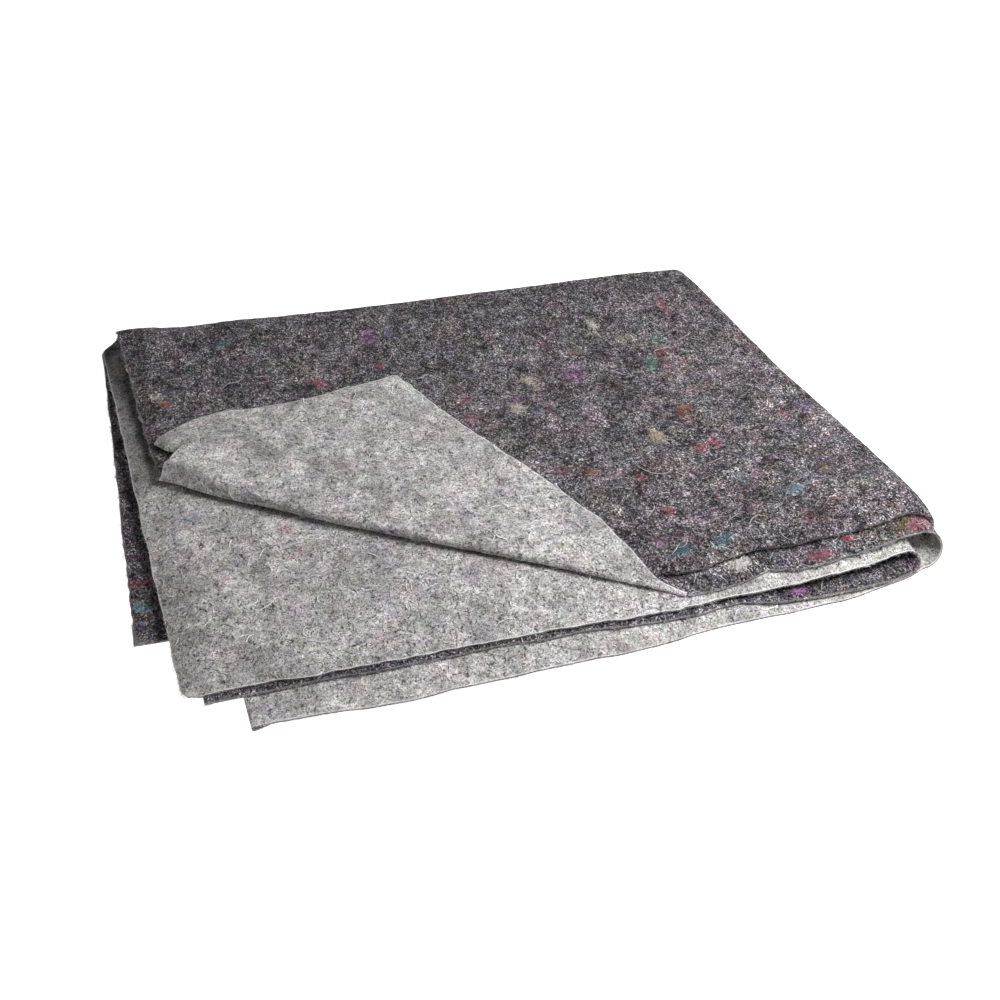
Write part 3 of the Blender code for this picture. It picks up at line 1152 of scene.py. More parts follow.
        # Places stirred a little and swayed a lot, so that no pattern looks like tiles
        place = add("Mapping", Vector=add("TexCoord", 3), Scale=(1.0, self.drawn_back, 1.0))
        near = add("TexNoise", 1, Vector=place, Scale=1.0 / self.stir_size, Detail=2.0)
        stirred = add("VectorMath", operation="MULTIPLY_ADD", in0=near, in1=(self.stir,) * 3,
                      in2=place)
        wide = add("TexNoise", 1, Vector=place, Scale=0.5 / self.clump_size, Detail=3.0)
        swayed = add("VectorMath", operation="MULTIPLY_ADD", in0=wide, in1=(self.sway,) * 3,
                     in2=stirred)

        # Tone: fibre ends in two sizes, clumps of them, combed streaks and wide clouds
        cells = add("TexVoronoi", 1, Vector=stirred, Scale=1.0 / self.grain_size)
        grain = add("SeparateColor", Color=cells)
        large = add("TexVoronoi", 1, Vector=stirred, Scale=0.4 / self.grain_size)
        coarse = add("SeparateColor", Color=large)
        clump = add("TexNoise", Vector=stirred, Scale=1.0 / self.clump_size, Detail=6.0,
                    Roughness=0.70)
        lengthways, slanted = (self.combed(tree, swayed, turn) for turn in self.comb_turns)
        cloud = add("TexNoise", Vector=place, Scale=1.0 / self.cloud_size, Detail=3.0)
        tone: Any = self.brightness
        for pattern, gain in ((coarse, self.coarse_gain), (clump, self.clump_gain),
                              (lengthways, self.streak_gain), (slanted, 0.6 * self.streak_gain),
                              (cloud, self.cloud_gain)):
            tone = self.shade(tree, tone, pattern, gain)
        tone = add("Math", operation="MAXIMUM", in0=tone, in1=self.darkest)

        # The dyes wander from clump to clump, and ragged lumps of lint keep their own
        colour = add("ValToRGB", stops=self.grains, Fac=grain)
        dye = add("TexNoise", 1, Vector=swayed, Scale=1.0 / self.hue_size, Detail=3.0,
                  Roughness=0.65)
        dye = add("VectorMath", operation="MULTIPLY_ADD", in0=dye, in1=self.hue_gain,
                  in2=[1.0 - gain / 2 for gain in self.hue_gain])
        colour = add("VectorMath", operation="MULTIPLY", in0=colour, in1=dye)
        ragged = add("TexNoise", Vector=stirred, Scale=1.0 / self.lint_size, Detail=5.0,
                     Roughness=0.75)
        lump = add("MapRange", Value=ragged, From_Min=self.lint_edge[0],
                   From_Max=self.lint_edge[1])
        batch = add("TexVoronoi", 1, Vector=swayed, Scale=1.0 / self.lint_pitch)
        lint = add("ValToRGB", stops=self.lint, Fac=add("SeparateColor", Color=batch))
        salted = self.shade(tree, 1.0, grain, self.salt)
        lint = add("VectorMath", operation="SCALE", in0=lint, Scale=salted)
        colour = self.cover(tree, colour, lint, lump, self.lint_strength)
        fleck, draw = self.spots(tree, swayed, self.fleck_pitch, self.fleck_share, 0.10, 0.20)
        flecks = add("ValToRGB", stops=FLECK_DYES, Fac=draw)
        colour = self.cover(tree, colour, flecks, fleck, self.fleck_cover)

        # The largest lumps lie where they were seen, with a torn outline, and so do the patches of
        # painted shade and shadow
        own = add("Attribute", attribute_name=self.tint)
        strength = own.node.outputs["Alpha"]
        torn = add("Math", operation="MULTIPLY_ADD", in0=clump, in1=self.torn,
                   in2=-self.torn / 2)
        torn = add("Math", operation="ADD", in0=torn, in1=strength)
        torn = add("MapRange", Value=torn, From_Min=self.torn_edge[0],
                   From_Max=self.torn_edge[1])
        inside = add("MapRange", Value=strength, From_Min=self.torn_reach[0],
                     From_Max=self.torn_reach[1])
        patch = add("Math", operation="MULTIPLY", in0=torn, in1=inside)
        dyed = add("VectorMath", operation="SCALE", in0=own, Scale=salted)
        colour = self.cover(tree, colour, dyed, patch, self.tuft_and_shade_cover)
        colour = add("VectorMath", operation="SCALE", in0=colour, Scale=tone)

        # Pits, cracks and threads, then a painted highlight: a lighter line along every cut edge
        pit, _ = self.spots(tree, swayed, self.speck_pitch * 1.3, self.pit_share, 0.12, 0.42)
        speck, _ = self.spots(tree, stirred, self.speck_pitch, self.speck_share, 0.14, 0.34)
        dark = self.thread_mask(tree, stirred, 0.022, self.dark_share, 0.31)
        pale = self.thread_mask(tree, stirred, 0.015, self.pale_share, 0.77)
        edge = add("Attribute", 2, attribute_name="edge_distance")
        line = add("MapRange", Value=edge, From_Min=0.2 * self.edge_highlight_width,
                   From_Max=self.edge_highlight_width, To_Min=1.0, To_Max=0.0)
        for over, mask, share in ((self.dark_thread, pit, self.pit_cover),
                                  (self.dark_thread, dark, self.dark_cover),
                                  (self.pale_thread, pale, self.pale_cover),
                                  (self.pale_thread, speck, self.speck_cover),
                                  (self.edge_highlight, line, self.edge_highlight_strength)):
            colour = self.cover(tree, colour, linear(over), mask, share)
        material.node_tree.links.new(colour, shader.inputs["Base Color"])

        # Relief of the clumps and threads
        height: Any = 0.0
        for pattern, rise in ((clump, self.clump_rise), (grain, 0.22), (lengthways, 0.30),
                              (pale, 0.30), (speck, 0.25), (dark, -0.45), (pit, -0.35)):
            height = add("Math", operation="MULTIPLY_ADD", in0=pattern, in1=rise, in2=height)
        bump = add("Bump", Strength=self.bump_strength, Distance=self.bump_height, Height=height)
        material.node_tree.links.new(bump, shader.inputs["Normal"])
        return material


# Dyes of flecks and of lumps of lint, each at a share of the draws
FLECK_DYES = (
    (0.00, "#b03a4a"), (0.14, "#a34f9a"), (0.28, "#4f7fa8"), (0.42, "#2f8f78"),
    (0.56, "#b5703c"), (0.70, "#c8c4c2"), (0.85, "#6a4f9c"), (1.00, "#b8a15c"),
)
LINT_DYES = (
    (0.00, "#7f4a78"), (0.12, "#84424f"), (0.24, "#4f5f80"), (0.34, "#3d6a62"),
    (0.44, "#85583f"), (0.54, "#7d7458"), (0.64, "#96908f"), (0.74, "#5f4670"),
    (0.84, "#6d4552"), (0.94, "#2c2a30"), (1.00, "#525f4e"),
)
PALE_LINT_DYES = (
    (0.00, "#b08a98"), (0.20, "#9189a6"), (0.36, "#a39c80"), (0.50, "#879c95"),
    (0.64, "#c9c6c4"), (0.80, "#676069"), (1.00, "#a68a90"),
)

# Charcoal salt and pepper in strong mottling, crossed by pale threads and garment dyes
DARK_FELT = FeltFace(
    name="needled_felt_dark_face",
    grains=((0.0, "#1c191d"), (0.22, "#433e43"), (0.55, "#655e64"), (0.82, "#8a8288"),
            (1.0, "#d6d1d2")),
    brightness=0.95,
    grain_size=0.95 * MM,
    coarse_gain=0.55,
    clump_gain=4.6,
    streak_gain=0.60,
    cloud_gain=2.1,
    hue_gain=(0.36, 0.34, 0.44),
    pale_thread="#cfcac9",
    dark_thread="#0d0b0f",
    lint=LINT_DYES,
    lint_edge=(0.50, 0.62),
    lint_strength=0.26,
    fleck_share=0.10,
    speck_share=0.055,
    pit_share=0.14,
    pale_share=0.08,
    dark_share=0.16,
    tint="dark_face_lint",
    # Painted highlight along the cut edges: a pale grey line
    edge_highlight="#a59ea2",
    edge_highlight_strength=0.55,
)
# Quiet pale grey, with dark pits and fine dark threads and hardly any dye
PALE_FELT = FeltFace(
    name="needled_felt_pale_face",
    grains=((0.0, "#5e5a62"), (0.13, "#979395"), (0.45, "#bfbbbb"), (0.80, "#d0cccb"),
            (1.0, "#e2dfdd")),
    brightness=1.16,
    grain_size=0.95 * MM,
    coarse_gain=0.29,
    clump_gain=2.1,
    streak_gain=1.05,
    cloud_gain=1.35,
    hue_gain=(0.24, 0.24, 0.24),
    pale_thread="#f2f0ee",
    dark_thread="#454146",
    lint=PALE_LINT_DYES,
    lint_edge=(0.52, 0.66),
    lint_strength=0.40,
    fleck_share=0.03,
    speck_share=0.015,
    pit_share=0.10,
    pale_share=0.06,
    dark_share=0.08,
    # The pale face's tufts, with the painted shade and shadow patches
    tint="pale_face_lint_and_shade",
    # Painted highlight along the cut edges: a white line
    edge_highlight="#ffffff",
    edge_highlight_strength=0.72,
)
# The middle of the felt where the knife opened it: a soft mid grey line between the faces
CUT_FELT = FeltFace(
    name="needled_felt_cut_edge",
    grains=((0.0, "#554f55"), (0.30, "#847e82"), (0.65, "#aca8a9"), (1.0, "#d8d4d3")),
    brightness=0.75,
    grain_size=0.8 * MM,
    coarse_gain=0.5,
    clump_gain=2.6,
    streak_gain=0.6,
    cloud_gain=0.4,
    hue_gain=(0.36, 0.34, 0.44),
    pale_thread="#bfb9ba",
    dark_thread="#0d0b0f",
    lint=LINT_DYES,
    lint_edge=(0.52, 0.64),
    lint_strength=0.30,
    fleck_share=0.10,
    speck_share=0.03,
    pit_share=0.08,
    pale_share=0.10,
    dark_share=0.12,
    tint="dark_face_lint",
    edge_highlight="#5c555b",
    edge_highlight_strength=0.0,
)


@dataclass(frozen=True)
class FibreFinish:
    """Loose textile fibre: matt polyester and cotton, each strand in its own colour."""

    name: str = "loose_textile_fibre"
    roughness: float = 0.7
    specular: float = 0.25

    def build(self) -> bpy.types.Material:
        """Make the material, which reads each strand's colour from an attribute.

        Returns:
            The material.
        """
        material, shader = new_material(
            self.name, Roughness=self.roughness, Specular_IOR_Level=self.specular)
        own = Tree(material).add("Attribute", attribute_name="strand_colour")
        material.node_tree.links.new(own, shader.inputs["Base Color"])
        return material


@dataclass(frozen=True)
class StrandKind:
    """How a set of loose strands looks: size, curl, lift and colours."""

    points: int
    length: tuple[float, float]
    radius: tuple[float, float]
    curl: float
    lift: float
    colours: tuple[str, ...]


@dataclass
class Strands:
    """Loose strands gathered from many places and built as one mesh."""

    name: str
    seed: int
    clump: int = 7
    clump_spread: float = 2.2 * MM
    rooted: float = 0.4 * MM
    rim_share: float = 0.8
    slant: float = 0.75
    tilt: float = 0.35
    sway: float = 0.3
    above_floor: float = 0.0002
    thin_end: float = 0.35
    lift_range: tuple[float, float] = (0.4, 1.3)
    tint_range: tuple[float, float] = (0.75, 1.2)
    wander: float = 0.6
    placed_wander: float = 0.05
    paths: list[Array] = field(default_factory=list)
    radii: list[Array] = field(default_factory=list)
    tints: list[Array] = field(default_factory=list)

    def __post_init__(self) -> None:
        """Fix the random draws of this set."""
        self.rng = np.random.default_rng(self.seed)

    def grow(self, patch: Patch, face: Face, half: float, i: Array, j: Array, kind: StrandKind,
             curls: Sequence[Curl] = ()) -> None:
        """Lay strands on a face from places on a patch, each turning as it goes.

        A strand takes small steps in the tangent plane while its heading wanders.  A listed
        curl turns by its bend instead, more and more towards its end.

        Args:
            patch: the part of the cloth.
            face: the face they lie on.
            half: half the cloth's thickness.
            i: first grid place of each root.
            j: second grid place of each root.
            kind: size, curl, lift and colours.
            curls: one for each root, where they are listed.
        """
        count, last = len(i), kind.points - 1
        rng = self.rng
        length = rng.uniform(*kind.length, count)
        heading = rng.uniform(0.0, math.tau, count)
        turning = rng.normal(0.0, kind.curl, count)
        wander, hooked = self.wander * kind.curl, 0.0
        if curls:
            length = np.array([curl.length for curl in curls])
            heading = np.radians([curl.heading for curl in curls])
            turning = np.radians([curl.bend for curl in curls]) / last
            wander, hooked = self.placed_wander, 1.0
        path = []
        for number in range(kind.points):
            arch = math.sin(math.pi * number / last)
            rise = kind.lift * arch * rng.uniform(*self.lift_range, count)
            point = patch.sample(patch.points, i, j)
            normal = patch.sample(patch.normals, i, j) * face.value
            path.append(point + normal * (half + rise)[:, None])
            side = patch.sample(patch.steps[0], i, j)
            side = side / np.linalg.norm(side, axis=-1, keepdims=True)
            other = np.cross(normal, side)
            grown = 1.0 + hooked * (2.0 * number / last - 1.0)
            heading = heading + turning * grown + rng.normal(0.0, wander, count)
            move = np.cos(heading)[:, None] * side + np.sin(heading)[:, None] * other
            i, j = patch.walk(i, j, (length / last)[:, None] * move)
        self.keep(np.stack(path, axis=1), kind)

    def fray(self, edge: Array, outward: Array, up: Array, half: float, count: int,
             kind: StrandKind) -> None:
        """Strands that stand out of a cut edge, bending as they go.

        Args:
            edge: points along the edge.
            outward: unit vectors away from the cloth, one for each point.
            up: unit normals of the cloth at the edge.
            half: half the cloth's thickness.
            count: number of strands.
            kind: size, curl, lift and colours.
        """
        rng = self.rng
        steps = np.linalg.norm(np.diff(edge, axis=0), axis=1)
        run = np.concatenate([[0.0], np.cumsum(steps)])
        clump = np.sort(rng.uniform(0.0, run[-1], max(2, count // self.clump)))
        place = rng.choice(clump, count) + rng.normal(0.0, self.clump_spread, count)
        index = np.interp(np.clip(place, 0.0, run[-1]), run, np.arange(len(run)))
        low = np.minimum(index.astype(int), len(run) - 2)
        part = (index - low)[:, None]
        root = edge[low] * (1 - part) + edge[low + 1] * part
        out, normal = outward[low], up[low]
        tangent = np.cross(out, normal)
        share = rng.uniform(-self.rim_share, self.rim_share, count)
        root = root + normal * share[:, None] * half
        root = root - out * self.rooted
        length = rng.uniform(*kind.length, count)
        slant = rng.normal(0.0, self.slant, count)
        tilt = rng.normal(0.0, self.tilt, count)
        turning = rng.normal(0.0, kind.curl, count)
        path = [root]
        for _ in range(kind.points - 1):
            way = (out * np.cos(slant)[:, None] + tangent * np.sin(slant)[:, None]
                   + normal * np.sin(tilt)[:, None])
            way = way / np.linalg.norm(way, axis=1, keepdims=True)
            path.append(path[-1] + way * (length / (kind.points - 1))[:, None])
            slant = slant + turning
            tilt = tilt + rng.normal(0.0, self.sway, count)
        self.keep(np.stack(path, axis=1), kind)

    def keep(self, paths: Array, kind: StrandKind) -> None:
        """Store paths with their radii and colours, and hold them above the floor.

        Args:
            paths: points of each strand.
            kind: radii and colours to draw from.
        """
        count = len(paths)
        radii = self.rng.uniform(*kind.radius, count)
        paths[..., 2] = np.maximum(paths[..., 2], radii[:, None] + self.above_floor)
        codes = np.array([linear(code)[:3] for code in kind.colours])
        tint = codes[self.rng.integers(0, len(codes), count)]
        shade = self.rng.uniform(*self.tint_range, count)[:, None]
        tint = np.clip(tint * shade, 0.0, 1.0)
        self.paths.append(paths)
        self.radii.append(radii)
        self.tints.append(tint)

    def build(self, material: bpy.types.Material) -> bpy.types.Object:
        """Make the mesh: three-sided tubes that thin towards their ends and are closed there.

        Args:
            material: the fibre's material.
        Returns:
            The object, at the origin.
        """
        vertices, quads, caps, colours, base = [], [], [], [], 0
        for paths, radii, tint in zip(self.paths, self.radii, self.tints):
            count, points = paths.shape[:2]
            ahead = np.gradient(paths, axis=1)
            ahead = ahead / np.maximum(np.linalg.norm(ahead, axis=-1, keepdims=True), 1e-9)
            side = np.cross(ahead, np.array((0.13, 0.21, 0.97)))
            side = side / np.maximum(np.linalg.norm(side, axis=-1, keepdims=True), 1e-9)
            over = np.cross(ahead, side)
            arch = np.sin(math.pi * (np.arange(points) + 0.5) / points)
            taper = self.thin_end + (1.0 - self.thin_end) * arch
            size = (radii[:, None] * taper)[..., None, None]
            turn = np.arange(3) * math.tau / 3
            ring = (paths[:, :, None] + size * (np.cos(turn)[:, None] * side[:, :, None]
                                                + np.sin(turn)[:, None] * over[:, :, None]))
            vertices.append(ring.reshape(-1, 3))
            first = base + (np.arange(count)[:, None] * points + np.arange(points - 1)) * 3
            for k in range(3):
                n = (k + 1) % 3
                quad = np.stack([first + k, first + n, first + n + 3, first + k + 3], -1)
                quads.append(quad.reshape(-1, 4))
            start = base + np.arange(count) * points * 3
            end = start + (points - 1) * 3
            caps.append(np.stack([start + 2, start + 1, start], -1))
            caps.append(np.stack([end, end + 1, end + 2], -1))
            colours.append(np.repeat(tint, points * 3, axis=0))
            base += count * points * 3
        faces = np.concatenate(quads).tolist() + np.concatenate(caps).tolist()
        mesh = bpy.data.meshes.new(self.name)
        mesh.from_pydata(np.concatenate(vertices).tolist(), [], faces)
        rgba = np.ones((base, 4), np.float32)
        rgba[:, :3] = np.concatenate(colours)
        add_attribute(mesh, "strand_colour", rgba)
        mesh.materials.append(material)
        return place_object(self.name, mesh)


# Kinds of strand: hairs and curls that stand off the faces, nips that are small knots, and
# the short hairs of the cut edges
PALE_HAIR = StrandKind(7, (4 * MM, 13 * MM), (0.09 * MM, 0.18 * MM), 0.45, 0.5 * MM,
                       ("#e9e6e3", "#d9d5d3", "#f4f2ef", "#bfb9b8", "#cfc6c2"))
SHORT_HAIR = StrandKind(5, (1.5 * MM, 4.5 * MM), (0.09 * MM, 0.19 * MM), 0.5, 0.35 * MM,
                        ("#dedad8", "#c4bfbf", "#f2f0ee", "#a8a2a4", "#8f888c"))
DARK_HAIR = StrandKind(6, (3 * MM, 9 * MM), (0.08 * MM, 0.17 * MM), 0.4, 0.4 * MM,
                       ("#2b282c", "#3d383e", "#1d1b1f", "#544d54"))
BRIGHT_CURL = StrandKind(10, (5 * MM, 17 * MM), (0.12 * MM, 0.26 * MM), 0.18, 0.8 * MM,
                         ("#f4f2f0", "#ebe8e6", "#f6f4f2", "#d8d3d2"))
PALE_CURL = StrandKind(10, (6 * MM, 16 * MM), (0.28 * MM, 0.50 * MM), 0.15, 1.2 * MM,
                       ("#ffffff", "#f6f4f2", "#efecea"))
NIP = StrandKind(4, (1.0 * MM, 2.5 * MM), (0.22 * MM, 0.42 * MM), 0.9, 0.2 * MM,
                 ("#f4f2f0", "#dcd8d6", "#efe9e4", "#c9c3c2"))
RIM_HAIR = StrandKind(4, (0.8 * MM, 2.2 * MM), (0.13 * MM, 0.26 * MM), 0.5, 0.0,
                      ("#ffffff", "#f4f2f0", "#e6e2e0"))
EDGE_HAIR = StrandKind(5, (1.2 * MM, 4.5 * MM), (0.05 * MM, 0.11 * MM), 0.5, 0.0,
                       ("#a39da0", "#6a6469", "#3a363b", "#d8d4d2", "#8a8388", "#c3bebd"))


class Dye(Enum):
    """Garment colours that survive in the lint, as sRGB hex; the darkest also paints shade and
    shadow.
    """

    MAGENTA = "#9a6a9c"
    PURPLE = "#83719c"
    ORCHID = "#c58fc9"
    RED = "#a2505f"
    PINK = "#b56a7e"
    ROSE = "#8e5f6b"
    ORANGE = "#c07a5c"
    RUST = "#805f55"
    GOLD = "#94805e"
    STRAW = "#cfc3a6"
    GREEN = "#457f6c"
    LEAF = "#5a7456"
    TEAL = "#4b8897"
    SKY = "#8fb0c4"
    BLUE = "#5c6d88"
    WHITE = "#f2efed"
    CREAM = "#e2dbce"
    # Dark lint, and the colour of the painted shade and shadow patches
    SOOT_AND_SHADE = "#19171b"


@dataclass(frozen=True)
class Lint:
    """A tuft of one colour, or a patch of painted shade: its place in the pack's plan, its half
    sizes and its strands.

    long and wide are in metres, turn is the long direction's angle from the panels in
    degrees, cover is how strongly the felt under it is dyed, lift is how high it stands, and
    deep is how far up and down its dye reaches.
    """

    x: float
    y: float
    dye: Dye
    long: float
    wide: float
    turn: float = 0.0
    cover: float = 0.8
    strands: int = 24
    lift: float = 0.0006
    deep: float = 0.004


@dataclass(frozen=True)
class Curl:
    """A long pale fibre: its start in the pack's plan, heading, length and bend.

    heading and bend are in degrees, the heading from the panels' direction.
    """

    x: float
    y: float
    heading: float
    length: float
    bend: float


TOP_CURLS = (
    Curl(0.407, 0.179, -84.0, 0.056, 175.0),
    Curl(0.503, 0.188, 15.0, 0.024, -100.0),
    Curl(0.466, 0.149, -5.0, 0.020, 60.0),
    Curl(0.062, 0.372, 70.0, 0.026, -140.0),
    Curl(0.075, 0.388, 20.0, 0.022, 120.0),
    Curl(0.395, 0.092, 35.0, 0.026, 110.0),
    Curl(0.470, 0.058, 60.0, 0.024, -150.0),
    Curl(0.560, 0.062, 80.0, 0.022, 130.0),
)
LOWER_CURLS = (
    Curl(0.058, 0.060, 14.0, 0.026, 45.0),
    Curl(0.174, 0.070, -100.0, 0.028, 35.0),
    Curl(0.098, 0.135, 8.0, 0.012, -20.0),
    Curl(0.062, 0.116, 60.0, 0.010, 20.0),
    Curl(0.024, 0.030, 70.0, 0.012, -40.0),
    Curl(0.090, 0.028, -20.0, 0.030, 35.0),
    Curl(0.240, 0.004, 30.0, 0.022, -60.0),
)
FOURTH_CURLS = (
    Curl(0.141, -0.040, 40.0, 0.013, 25.0),
    Curl(0.147, -0.040, 50.0, 0.012, -30.0),
    Curl(0.153, -0.040, 38.0, 0.012, 20.0),
    Curl(0.175, -0.039, 30.0, 0.010, 30.0),
    Curl(0.212, -0.037, 48.0, 0.012, -20.0),
    Curl(0.220, -0.037, 42.0, 0.011, 35.0),
    Curl(0.238, -0.036, 35.0, 0.015, 20.0),
    Curl(0.246, -0.035, 50.0, 0.012, -25.0),
    Curl(0.258, -0.035, 40.0, 0.014, 20.0),
    Curl(0.266, -0.034, 32.0, 0.012, 30.0),
    Curl(0.275, -0.034, 45.0, 0.013, -30.0),
    Curl(0.285, -0.033, 38.0, 0.012, 25.0),
    Curl(0.294, -0.032, 30.0, 0.011, 30.0),
    Curl(0.311, -0.031, 45.0, 0.012, -20.0),
    Curl(0.325, -0.030, 40.0, 0.013, 25.0),
    Curl(0.335, -0.029, 50.0, 0.010, -35.0),
)

TOP_LINT = (
    Lint(0.522, 0.432, Dye.RED, 0.0035, 0.0028, cover=0.95),
    Lint(0.498, 0.362, Dye.GREEN, 0.0040, 0.0035, cover=0.9),
    Lint(0.474, 0.329, Dye.GREEN, 0.0090, 0.0035, 50.0, 0.80, 34),
    Lint(0.489, 0.323, Dye.ROSE, 0.0040, 0.0040, cover=0.7),
    Lint(0.493, 0.340, Dye.RED, 0.0030, 0.0030, cover=0.6),
    Lint(0.4005, 0.323, Dye.MAGENTA, 0.0080, 0.0075, cover=0.75),
    Lint(0.443, 0.402, Dye.WHITE, 0.0045, 0.0035, cover=0.5, strands=46, lift=0.0012),
    Lint(0.505, 0.271, Dye.RUST, 0.0130, 0.0070, 20.0, 0.38, 10),
    Lint(0.476, 0.242, Dye.ORANGE, 0.0075, 0.0028, 35.0, 0.95, 40),
    Lint(0.588, 0.211, Dye.PURPLE, 0.0075, 0.0060, cover=0.45),
    Lint(0.560, 0.213, Dye.RED, 0.0035, 0.0030, cover=0.6),
    Lint(0.455, 0.216, Dye.BLUE, 0.0038, 0.0030, cover=0.8),
    Lint(0.440, 0.200, Dye.STRAW, 0.0052, 0.0048, cover=0.85, strands=90, lift=0.0014),
    Lint(0.485, 0.181, Dye.RED, 0.0048, 0.0035, cover=0.75),
    Lint(0.472, 0.171, Dye.RED, 0.0035, 0.0030, cover=0.7),
    Lint(0.404, 0.153, Dye.RED, 0.0035, 0.0030, cover=0.95),
    Lint(0.363, 0.166, Dye.RUST, 0.0070, 0.0045, cover=0.75),
    Lint(0.340, 0.172, Dye.ROSE, 0.0070, 0.0045, cover=0.55),
    Lint(0.558, 0.110, Dye.GOLD, 0.0075, 0.0050, 60.0, 0.55),
    Lint(0.523, 0.092, Dye.SKY, 0.0095, 0.0035, -10.0, 0.80, 46),
    Lint(0.411, 0.093, Dye.RED, 0.0042, 0.0038, cover=0.95),
    Lint(0.009, 0.363, Dye.ORANGE, 0.0040, 0.0034, cover=0.9),
    Lint(0.012, 0.383, Dye.BLUE, 0.0060, 0.0045, cover=0.6),
    Lint(0.004, 0.374, Dye.WHITE, 0.0060, 0.0020, 40.0, 0.2, 22, 0.0012),
    Lint(0.070, 0.454, Dye.TEAL, 0.0080, 0.0060, cover=0.45),
    Lint(0.214, 0.427, Dye.MAGENTA, 0.0060, 0.0055, cover=0.75),
    Lint(0.236, 0.438, Dye.PURPLE, 0.0060, 0.0050, cover=0.65),
    Lint(0.217, 0.384, Dye.RED, 0.0040, 0.0034, cover=0.75),
    Lint(0.152, 0.360, Dye.PINK, 0.0065, 0.0050, cover=0.55),
    Lint(0.287, 0.273, Dye.ROSE, 0.0080, 0.0060, cover=0.7),
    Lint(0.283, 0.298, Dye.ROSE, 0.0050, 0.0045, cover=0.55),
    Lint(0.358, 0.274, Dye.ROSE, 0.0050, 0.0045, cover=0.6),
    Lint(0.347, 0.279, Dye.BLUE, 0.0045, 0.0045, cover=0.55),
    Lint(0.331, 0.283, Dye.CREAM, 0.0070, 0.0050, 0.0, 0.35, 60, 0.0014),
    Lint(0.334, 0.288, Dye.MAGENTA, 0.0040, 0.0036, cover=0.95),
    Lint(0.348, 0.316, Dye.CREAM, 0.0065, 0.0050, 0.0, 0.35, 46, 0.0012),
    Lint(0.406, 0.046, Dye.TEAL, 0.0090, 0.0035, 25.0, 0.95, 50),
    Lint(0.392, 0.057, Dye.MAGENTA, 0.0060, 0.0045, cover=0.6),
    Lint(0.4412, 0.0445, Dye.TEAL, 0.0095, 0.0038, 25.0, 0.65, 40),
    Lint(0.487, 0.122, Dye.TEAL, 0.0080, 0.0070, cover=0.30, strands=8),
    Lint(0.516, 0.052, Dye.ROSE, 0.0075, 0.0060, cover=0.65),
    Lint(0.541, 0.022, Dye.RED, 0.0050, 0.0035, cover=0.6),
    Lint(0.513, 0.014, Dye.PINK, 0.0095, 0.0028, 0.0, 0.70, 46),
    Lint(0.603, 0.022, Dye.PINK, 0.0090, 0.0045, 15.0, 0.80, 40),
    Lint(0.587, 0.022, Dye.GOLD, 0.0080, 0.0045, 40.0, 0.40, 40, 0.0016),
    Lint(0.4455, 0.0215, Dye.WHITE, 0.0052, 0.0042, 0.0, 1.30, 150, 0.0016),
    Lint(0.009, 0.402, Dye.SOOT_AND_SHADE, 0.0140, 0.0030, 10.0, 0.60, 30),
)
THIRD_LINT = (
    Lint(0.488, -0.006, Dye.ORCHID, 0.0070, 0.0030, cover=0.80, strands=36, lift=0.0008),
)
SECOND_LINT_AND_SHADOW = (
    Lint(0.155, 0.010, Dye.PINK, 0.0080, 0.0070, cover=0.22, strands=0),
    Lint(0.248, 0.002, Dye.GREEN, 0.0060, 0.0040, cover=0.25, strands=6),
    Lint(0.000, 0.197, Dye.LEAF, 0.0070, 0.0040, cover=0.25, strands=6),
    Lint(0.105, 0.120, Dye.PINK, 0.0110, 0.0080, cover=0.25, strands=0),
    Lint(0.136, 0.106, Dye.ROSE, 0.0110, 0.0050, 10.0, 0.40, 4),
    Lint(0.096, 0.150, Dye.PINK, 0.0060, 0.0030, 10.0, 0.40, 6),
    Lint(0.023, 0.190, Dye.TEAL, 0.0080, 0.0030, 15.0, 0.45, 10),
    # Painted shadow: dark patches on layer 2 along layer 1's raised left edge, where its shadow
    # falls, with a few dark strands on two of them
    Lint(-0.018, 0.375, Dye.SOOT_AND_SHADE, 0.0950, 0.0055, 96.0, 1.20, 90),
    Lint(-0.031, 0.410, Dye.SOOT_AND_SHADE, 0.1150, 0.0130, 96.0, 0.55, 40),
    Lint(-0.040, 0.490, Dye.SOOT_AND_SHADE, 0.0450, 0.0130, 96.0, 1.30, 0),
    Lint(-0.006, 0.292, Dye.SOOT_AND_SHADE, 0.0110, 0.0050, 96.0, 0.80, 40),
    Lint(-0.016, 0.338, Dye.GREEN, 0.0060, 0.0035, 10.0, 0.80, 40),
)
SEVENTH_LINT = (
    Lint(-0.026, 0.136, Dye.RED, 0.0120, 0.0030, 5.0, 0.80, 30),
    Lint(-0.022, 0.117, Dye.RUST, 0.0100, 0.0040, 0.0, 0.50, 10),
    Lint(-0.030, 0.101, Dye.TEAL, 0.0080, 0.0040, 0.0, 0.75, 26),
    Lint(-0.018, 0.080, Dye.PURPLE, 0.0120, 0.0060, 0.0, 0.40, 10),
)
# Painted shade in the hollow of the right-end fold, on its pale inner face
LOOP_PAINTED_SHADE = (
    Lint(0.646, 0.040, Dye.SOOT_AND_SHADE, 0.0200, 0.0500, 0.0, 1.6, 0, deep=0.012),
    Lint(0.6225, 0.0085, Dye.SOOT_AND_SHADE, 0.0160, 0.0300, 0.0, 0.9, 0, deep=0.010),
)


